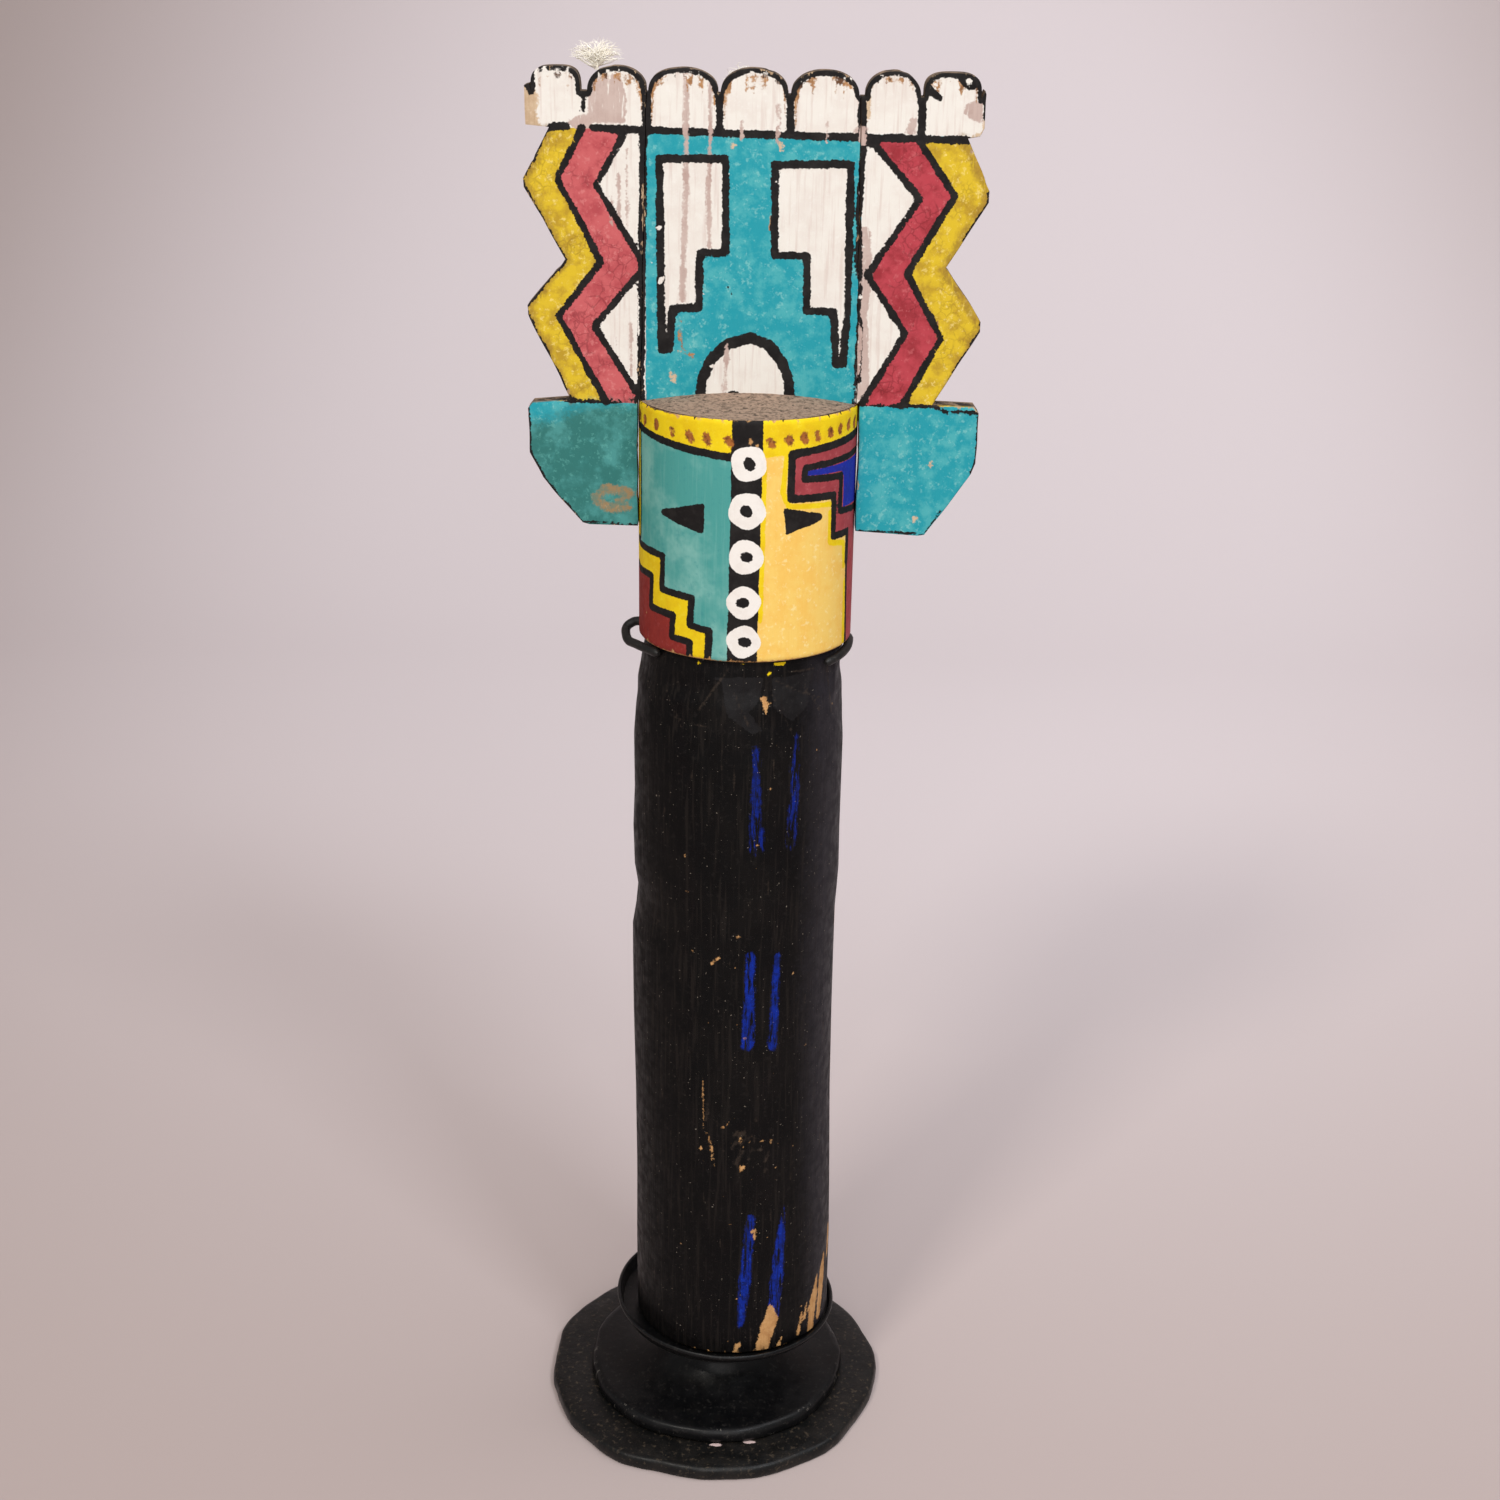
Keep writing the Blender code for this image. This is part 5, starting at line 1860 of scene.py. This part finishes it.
@dataclass
class CradleWire:
    """The rod behind the doll and the two hooks round its neck."""

    material: bpy.types.Material
    radius: float = 1.35
    gap: float = 0.3
    level: float = 270.65
    neck_half: float = 29.1
    neck_deep: float = 27.0
    shares: tuple[float, ...] = (0.12, 0.20, 0.28, 0.36)
    ease_span: float = 0.26
    ease_power: float = 1.5
    crossing_rise: float = 0.7
    rod_steps: int = 40
    hooks: tuple[Hook, Hook] = (
        Hook(-1, 31.4, 4.0, 0.41, 3.6, 0.0),
        Hook(1, 29.1, 0.0, 0.45, 0.0, 1.4),
    )

    def neck_point(self, share: float, clearance: float) -> tuple[float, float]:
        """Find a place beside the neck.

        Args:
            share: How far round it lies from the back, as a share of a quarter turn.
            clearance: The room between neck and wire, in millimetres.

        Returns:
            Its x and y from the doll's axis, in millimetres.
        """
        angle = share * pi / 2
        half = self.neck_half + self.radius + clearance
        deep = self.neck_deep + self.radius + clearance
        return half * cos(angle), DATUM.back_y / MM - deep * sin(angle)

    def knots(self, hook: Hook) -> list[Vector]:
        """Return the knots of one arm, from the rod to the hook's tip, in metres.

        Args:
            hook: The arm to lay out.

        Returns:
            Its knots.
        """
        back = DATUM.back_y / MM
        rod_y = back + self.gap + self.radius
        off = self.radius + 2 * self.gap
        slant = off * sin(pi / 4)
        top = self.level + hook.lift
        rows = [
            (0.0, rod_y, top),
            (hook.corner * 0.6, rod_y, top),
            (hook.corner - off * 0.4, back + off, top),
            (hook.corner + slant + hook.bulge * 0.2, back + slant, top - hook.lift * 0.1),
            (hook.corner + off + hook.bulge * 0.5, back - self.gap, top - hook.lift * 0.5),
        ]
        for share in self.shares:
            if share < hook.reach:
                ease = max(0.0, 1 - (share - self.shares[0]) / self.ease_span) ** self.ease_power
                x, y = self.neck_point(share, 2 * self.gap + hook.bulge * ease)
                rows.append((x, y, self.level + hook.lift * 0.1 * ease - hook.drop * share / hook.reach))
        rows.append((*self.neck_point(hook.reach, 2 * self.gap), self.level - hook.drop))
        axis = DATUM.axis_x / MM
        return [Vector((axis + hook.sign * x, y, z)) * MM for x, y, z in rows]

    @staticmethod
    def smooth(knots: list[Vector], step: float = 0.8 * MM) -> list[Vector]:
        """Draw a smooth curve through the knots.

        Args:
            knots: The knots, in metres.
            step: How far apart its points are, in metres.

        Returns:
            Its points.
        """
        ends = [2 * knots[0] - knots[1]] + knots + [2 * knots[-1] - knots[-2]]
        points = [knots[0]]
        for a, b, c, d in zip(ends, ends[1:], ends[2:], ends[3:]):
            count = max(2, round((c - b).length / step))
            for i in range(1, count + 1):
                t = i / count
                near = 2 * b + (c - a) * t
                far = (2 * a - 5 * b + 4 * c - d) * t**2 + (3 * b - a - 3 * c + d) * t**3
                points.append((near + far) / 2)
        return points

    def make(self) -> bpy.types.Object:
        """Bend the wire.

        Returns:
            The piece, which stands for the wire's solid.
        """
        left, right = (self.knots(hook) for hook in self.hooks)
        right[0] = left[0]
        arms = self.smooth(left)[::-1] + self.smooth(right)[1:]
        foot = Vector((DATUM.axis_x, left[0].y, DATUM.plate_floor + self.gap * MM))
        crest = Vector((foot.x, foot.y, left[0].z + self.crossing_rise * self.radius * MM))
        rod = [foot.lerp(crest, i / self.rod_steps) for i in range(self.rod_steps + 1)]
        curve = bpy.data.curves.new("cradle_wire", "CURVE")
        curve.dimensions = "3D"
        curve.bevel_depth = self.radius * MM
        curve.bevel_resolution = 5
        curve.use_fill_caps = True
        for path in (arms, rod):
            add_spline(curve, path, self.blunt_ends(path, path is arms))
        mesh = curve_to_mesh(curve)
        places = read_places(mesh)
        ends = (np.array(arms[0]), np.array(arms[-1]))
        tip = np.minimum.reduce([np.linalg.norm(places - end, axis=1) for end in ends])
        store(mesh, "rim", np.exp(-tip / (1.5 * MM)))
        mesh.materials.append(self.material)
        return finish_mesh("cradle_wire", mesh, ("stand_wire",), radians(60))

    def blunt_ends(self, path: list[Vector], rounded: bool) -> list[float]:
        """Work out the wire's thickness along a path.

        Args:
            path: The path's points, in metres.
            rounded: Whether its two ends are cut and rounded.

        Returns:
            One factor for each point.
        """
        if not rounded:
            return [1.0] * len(path)
        factors = []
        for point in path:
            near = min((point - path[0]).length, (point - path[-1]).length) / (self.radius * MM)
            factors.append(max(0.45, (1 - max(0.0, 1 - near) ** 2) ** 0.5))
        return factors


def add_spline(curve: bpy.types.Curve, path: Sequence[Vector], factors: Sequence[float]) -> None:
    """Add one line of straight pieces to a curve.

    Args:
        curve: The curve.
        path: The line's points.
        factors: The thickness factor at each point.
    """
    spline = curve.splines.new("POLY")
    spline.points.add(len(path) - 1)
    for point, place, factor in zip(spline.points, path, factors):
        point.co = (*place, 1.0)
        point.radius = factor


def curve_to_mesh(curve: bpy.types.Curve) -> bpy.types.Mesh:
    """Turn a curve's surface into a mesh and drop the curve.

    Args:
        curve: The curve, with its bevel set.

    Returns:
        The new mesh.
    """
    holder = hold(curve.name, curve)
    graph = bpy.context.evaluated_depsgraph_get()
    mesh = bpy.data.meshes.new_from_object(holder.evaluated_get(graph))
    bpy.data.objects.remove(holder)
    bpy.data.curves.remove(curve)
    return mesh


@dataclass
class DownTuft:
    """A small tuft of white down tied behind the cloud tops."""

    name: str
    node: str
    seed: int
    fibres: int
    material: bpy.types.Material

    def make(self) -> bpy.types.Object:
        """Grow the tuft inside its solid's box.

        Returns:
            The piece, which stands for the tuft's solid.
        """
        low, high = (Vector(corner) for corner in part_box(self.node))
        middle = (low + high) / 2
        half = (high - low) / 2
        rng = Random(self.seed)
        curve = bpy.data.curves.new(self.name, "CURVE")
        curve.dimensions = "3D"
        curve.bevel_depth = 0.10 * MM
        curve.bevel_resolution = 0
        root = middle - Vector((0.0, 0.0, half.z * 0.75))
        for _ in range(self.fibres):
            aim = Vector((rng.gauss(0, 1), rng.gauss(0, 0.7), abs(rng.gauss(0, 1)) - 0.35)).normalized()
            reach = rng.uniform(0.60, 0.97)
            end = middle + Vector(a * h for a, h in zip(aim, half)) * reach
            start = root.lerp(middle, rng.uniform(0.0, 1.1))
            bend = Vector((rng.uniform(-1, 1), rng.uniform(-1, 1), rng.uniform(-0.2, 1))) * half.z * 0.34
            path = [start.lerp(end, t) + bend * sin(pi * t) for t in (0, 0.25, 0.5, 0.75, 1)]
            add_spline(curve, path, (1.0, 1.1, 0.9, 0.7, 0.35))
        add_spline(curve, (root, middle), (6.0, 3.0))
        mesh = curve_to_mesh(curve)
        mesh.materials.append(self.material)
        return finish_mesh(self.name, mesh, (self.node,), radians(80))


@dataclass(frozen=True)
class Finish:
    """A plain single-colour finish with pale flakes on its rims: light wear, which on the pedestal also
    stands for painted highlight.
    """

    name: str
    tone: Colour
    mottle: Colour
    worn: Colour
    roughness: float
    rim_paling: float = 0.0
    sheen: float = 0.3
    relief: float = 0.0001
    flecking: float = 0.12
    chips: tuple[Point, ...] = ()
    grit: float = 130.0
    dust: float = 0.03

    def build(self, effects: Effects) -> bpy.types.Material:
        """Build the finish's material.

        Args:
            effects: The shared node groups.

        Returns:
            The material, for a mesh that stores `rim` where its rims show wear and, on the pedestal,
            painted highlight.
        """
        material, s, shader = start_material(self.name)
        place = s.here()
        pigment = Pigment(self.tone, self.mottle, self.worn, self.grit, 0.7, self.flecking)
        colour = pigment.lay(s, effects, place)
        # Pale flakes along the rims: wear, and on the pedestal also painted highlight on the rim edges.
        if self.rim_paling:
            share = s.math("MULTIPLY", s.attribute("rim"), self.rim_paling)
            flakes = s.place(effects.flakes, "Mask", Vector=place, Share=share, Scale=420.0)
            colour = s.mix(flakes, colour, self.worn)
        dust = s.place(effects.dust, "Mask", Vector=place, Share=self.dust)
        colour = s.mix(s.math("MULTIPLY", dust, 0.25), colour, self.worn)
        for x, y in self.chips:
            colour = s.mix(self.chip_mask(s, place, x, y), colour, CHIP_PINK)
        s.feed(shader.inputs["Base Color"], colour)
        gloss = s.remap(s.noise(place, 180.0, 4.0), 0.3, 0.7, self.roughness - 0.08, self.roughness + 0.10)
        s.feed(shader.inputs["Roughness"], gloss)
        shader.inputs["Specular IOR Level"].default_value = self.sheen
        bump = s.add("ShaderNodeBump")
        bump.inputs["Strength"].default_value = 0.4
        bump.inputs["Distance"].default_value = self.relief
        s.feed(bump.inputs["Height"], s.noise(place, 500.0, 4.0, 0.6))
        s.feed(shader.inputs["Normal"], bump.outputs["Normal"])
        return material

    @staticmethod
    def chip_mask(s: Sketch, place: object, x: float, y: float) -> object:
        """Draw one small long chip.

        Args:
            s: The material's sketch.
            place: The Object coordinates.
            x: The chip's middle across, in millimetres.
            y: Its middle front to back, in millimetres.

        Returns:
            The mask's socket.
        """
        squeeze = 2.6
        away = s.add("ShaderNodeVectorMath", operation="DISTANCE")
        s.feed(away.inputs[0], s.stretch(place, (1.0, squeeze, 0.0)))
        away.inputs[1].default_value = (x * MM, squeeze * y * MM, 0.0)
        ragged = s.math("ADD", away.outputs["Value"], s.math("MULTIPLY", s.noise(place, 700.0), 2.0 * MM))
        return s.remap(ragged, 3.2 * MM, 2.6 * MM)


CHIP_PINK: Colour = (0.62, 0.47, 0.45)
# Painted highlight: the pedestal's pale rim flakes stand for both wear and the highlight lines along its
# rims.
LACQUER = Finish(
    "stand_lacquer", (0.0028, 0.0028, 0.0032), (0.0060, 0.0056, 0.0056), (0.10, 0.09, 0.08),
    roughness=0.36, rim_paling=0.17, sheen=0.20,
)
FOOT_LACQUER = Finish(
    "foot_lacquer", (0.0040, 0.0040, 0.0040), (0.0120, 0.0100, 0.0085), (0.075, 0.056, 0.038),
    roughness=0.40, rim_paling=0.06, sheen=0.26, relief=0.00035, flecking=0.55,
    chips=((1.6, -43.5), (12.6, -41.9)),
)
WIRE_BLACK = Finish(
    "wire_black", (0.008, 0.0075, 0.0075), (0.018, 0.016, 0.014), (0.12, 0.10, 0.08),
    roughness=0.46, rim_paling=0.22,
)
DOWN_WHITE = Finish(
    "down_white", (0.95, 0.91, 0.82), (0.93, 0.87, 0.76), (0.85, 0.76, 0.62), roughness=0.85,
)
SAWN_TOP = Finish(
    "sawn_top", (0.34, 0.235, 0.172), (0.085, 0.062, 0.047), (0.030, 0.024, 0.020),
    roughness=0.85, sheen=0.1, relief=0.0012, flecking=0.85, grit=750.0,
)


@dataclass(frozen=True)
class Lamp:
    """A soft light aimed at the doll."""

    name: str
    direction: tuple[float, float, float]
    away: float
    size: float
    power: float
    tint: Colour

    def hang(self, target: Vector) -> None:
        """Hang the light so that it faces a place.

        Args:
            target: The place, in metres.
        """
        lamp = bpy.data.lights.new(self.name, "AREA")
        lamp.size = self.size
        lamp.energy = self.power
        lamp.color = self.tint
        toward = Vector(self.direction).normalized()
        hold(self.name, lamp).matrix_world = Matrix.LocRotScale(
            target + toward * self.away, toward.to_track_quat("Z", "Y"), None
        )


@dataclass
class Studio:
    """The floor, the lights and the camera."""

    floor_tone: Colour = (0.80, 0.722, 0.738)
    # Painted shade: the darker, warmer tone the paper falls to away from its bright patch.
    painted_falloff_tone: Colour = (0.46, 0.376, 0.356)
    world_tone: Colour = (0.98, 0.98, 1.0)
    world_strength: float = 0.38
    lamps: tuple[Lamp, ...] = (
        Lamp("key", (-0.49, -0.84, 1.0), 1.6, 0.26, 9.0, (1.0, 0.95, 0.88)),
        Lamp("fill", (0.50, -0.77, 1.0), 1.6, 0.30, 8.0, (0.92, 0.96, 1.0)),
        Lamp("front", (0.05, -1.0, 0.42), 2.2, 1.3, 14.8, (1.0, 0.98, 0.96)),
    )
    sweep_lamp: Lamp = Lamp("sweep", (0.35, -0.85, 1.0), 1.9, 1.3, 11.0, (0.97, 0.97, 1.0))
    sweep_place: tuple[float, float, float] = (0.25, 1.30, 0.20)
    bend_start: float = 0.75
    bend_radius: float = 0.9
    camera_place: tuple[float, float, float] = (0.0087, -0.5978, 0.4717)
    pitch: float = radians(21.8)
    roll: float = radians(1.03)
    lens: float = 50.4

    def set_up(self) -> None:
        """Lay the floor, hang the lights and place the camera."""
        self.lay_floor()
        self.light_world()
        target = Vector((DATUM.axis_x, DATUM.board_y, DATUM.cloud_top / 2))
        for lamp in self.lamps:
            lamp.hang(target)
        self.sweep_lamp.hang(Vector(self.sweep_place))
        self.place_camera()
        bpy.context.scene.view_settings.view_transform = "Standard"

    def lay_floor(self) -> None:
        """Lay a wide pale sweep of paper that is both floor and background, with painted shade darkening it
        away from a bright patch behind the doll.
        """
        half_width, reach, bend_steps = 5.0, 4.0, 30
        bm = bmesh.new()
        angles = [radians(90 * i / bend_steps) for i in range(bend_steps + 1)]
        bend = [
            (self.bend_start + self.bend_radius * sin(a), self.bend_radius * (1 - cos(a))) for a in angles
        ]
        section = [(-reach, 0.0), *bend, (bend[-1][0], reach)]
        verts = [bm.verts.new((-half_width, y, z)) for y, z in section]
        edges = [bm.edges.new(pair) for pair in zip(verts, verts[1:])]
        grown = bmesh.ops.extrude_edge_only(bm, edges=edges)
        bmesh.ops.translate(bm, verts=new_verts(grown), vec=(2 * half_width, 0.0, 0.0))
        mesh = to_mesh("floor", bm, closed=False)
        mesh.shade_smooth()
        material, s, shader = start_material("floor_paper")
        # Painted shade: the colour darkens with distance from a spot behind the doll, standing in for the
        # lamps' falloff and the darker corners.
        near = s.stretch(s.here(), (1.3, 1.0, 1.0))
        away = s.add("ShaderNodeVectorMath", operation="DISTANCE")
        s.feed(away.inputs[0], near)
        away.inputs[1].default_value = (0.12, 1.05, 0.25)
        painted_falloff = s.remap(away.outputs["Value"], 0.45, 1.30)
        s.feed(shader.inputs["Base Color"], s.mix(painted_falloff, self.floor_tone, self.painted_falloff_tone))
        shader.inputs["Roughness"].default_value = 0.95
        shader.inputs["Specular IOR Level"].default_value = 0.1
        mesh.materials.append(material)
        hold("floor", mesh)

    def light_world(self) -> None:
        """Give the surroundings an even pale light."""
        world = bpy.data.worlds.new("studio")
        world.use_nodes = True
        background = world.node_tree.nodes["Background"]
        background.inputs["Color"].default_value = (*self.world_tone, 1.0)
        background.inputs["Strength"].default_value = self.world_strength
        bpy.context.scene.world = world

    def place_camera(self) -> None:
        """Place the camera at the photograph's angle."""
        right = Vector((1.0, 0.0, 0.0))
        ahead = Vector((0.0, cos(self.pitch), -sin(self.pitch)))
        up = Vector((0.0, sin(self.pitch), cos(self.pitch)))
        camera_x = right * cos(self.roll) + up * sin(self.roll)
        camera_y = up * cos(self.roll) - right * sin(self.roll)
        turned = Matrix((camera_x, camera_y, -ahead)).transposed().to_4x4()
        camera = bpy.data.cameras.new("camera")
        camera.lens = self.lens
        camera.sensor_width = 36.0
        camera.clip_start = 0.01
        camera.clip_end = 200.0
        holder = hold("camera", camera)
        holder.matrix_world = Matrix.Translation(self.camera_place) @ turned
        bpy.context.scene.camera = holder


PAINTED_HEAD = PaintedWood("painted_head", FACE_GREEN, HEAD_COATS, flake_share=0.03)
PAINTED_BODY = PaintedWood(
    "painted_body", BODY_BLACK, BODY_COATS, roughness=0.50, flake_share=0.02, relief=0.0003, sheen=0.10,
    dust=0.125,
)
PAINTED_BOARDS = PaintedWood("painted_boards", TURQUOISE, BOARD_COATS, flake_share=0.06)


@dataclass
class Doll:
    """The painted log and the three boards of its headdress."""

    effects: Effects

    def make(self) -> None:
        """Make the log, the boards and the tufts behind them."""
        head = PAINTED_HEAD.build(self.effects)
        body = PAINTED_BODY.build(self.effects)
        paint = PAINTED_BOARDS.build(self.effects)
        sawn = SAWN_TOP.build(self.effects)
        down = DOWN_WHITE.build(self.effects)
        CarvedLog(head, body, sawn).make()
        SawnTop(sawn).make()
        Board("headdress_middle", MIDDLE_OUTLINE, ("doll_log",), paint).make()
        Board("headdress_left", LEFT_OUTLINE, ("left_wing_board",), paint).make()
        Board("headdress_right", RIGHT_OUTLINE, ("right_wing_board",), paint).make()
        DownTuft("down_left", "down_tuft_left", 3, 170, down).make()
        DownTuft("down_middle", "down_tuft_middle", 8, 120, down).make()


@dataclass
class Stand:
    """The black display stand: foot, pedestal and wire cradle."""

    effects: Effects

    def make(self) -> None:
        """Make the stand's three parts."""
        lacquer = LACQUER.build(self.effects)
        foot = FOOT_LACQUER.build(self.effects)
        Turned("foot_disc", FOOT_PROFILE, "stand_foot", foot).make(1.0, foot_middle)
        pedestal = Turned("pedestal_turned", PEDESTAL_PROFILE, "stand_pedestal", lacquer)
        pedestal.make(0.5, stem_middle, tilt=1.6, tilt_floor=32.6)
        CradleWire(WIRE_BLACK.build(self.effects)).make()


def main() -> None:
    """Build the doll, its stand and the studio round them."""
    logging.basicConfig(level=logging.INFO, format="%(message)s")
    effects = Effects()
    Doll(effects).make()
    Stand(effects).make()
    Studio().set_up()


if __name__ == "__main__":
    main()
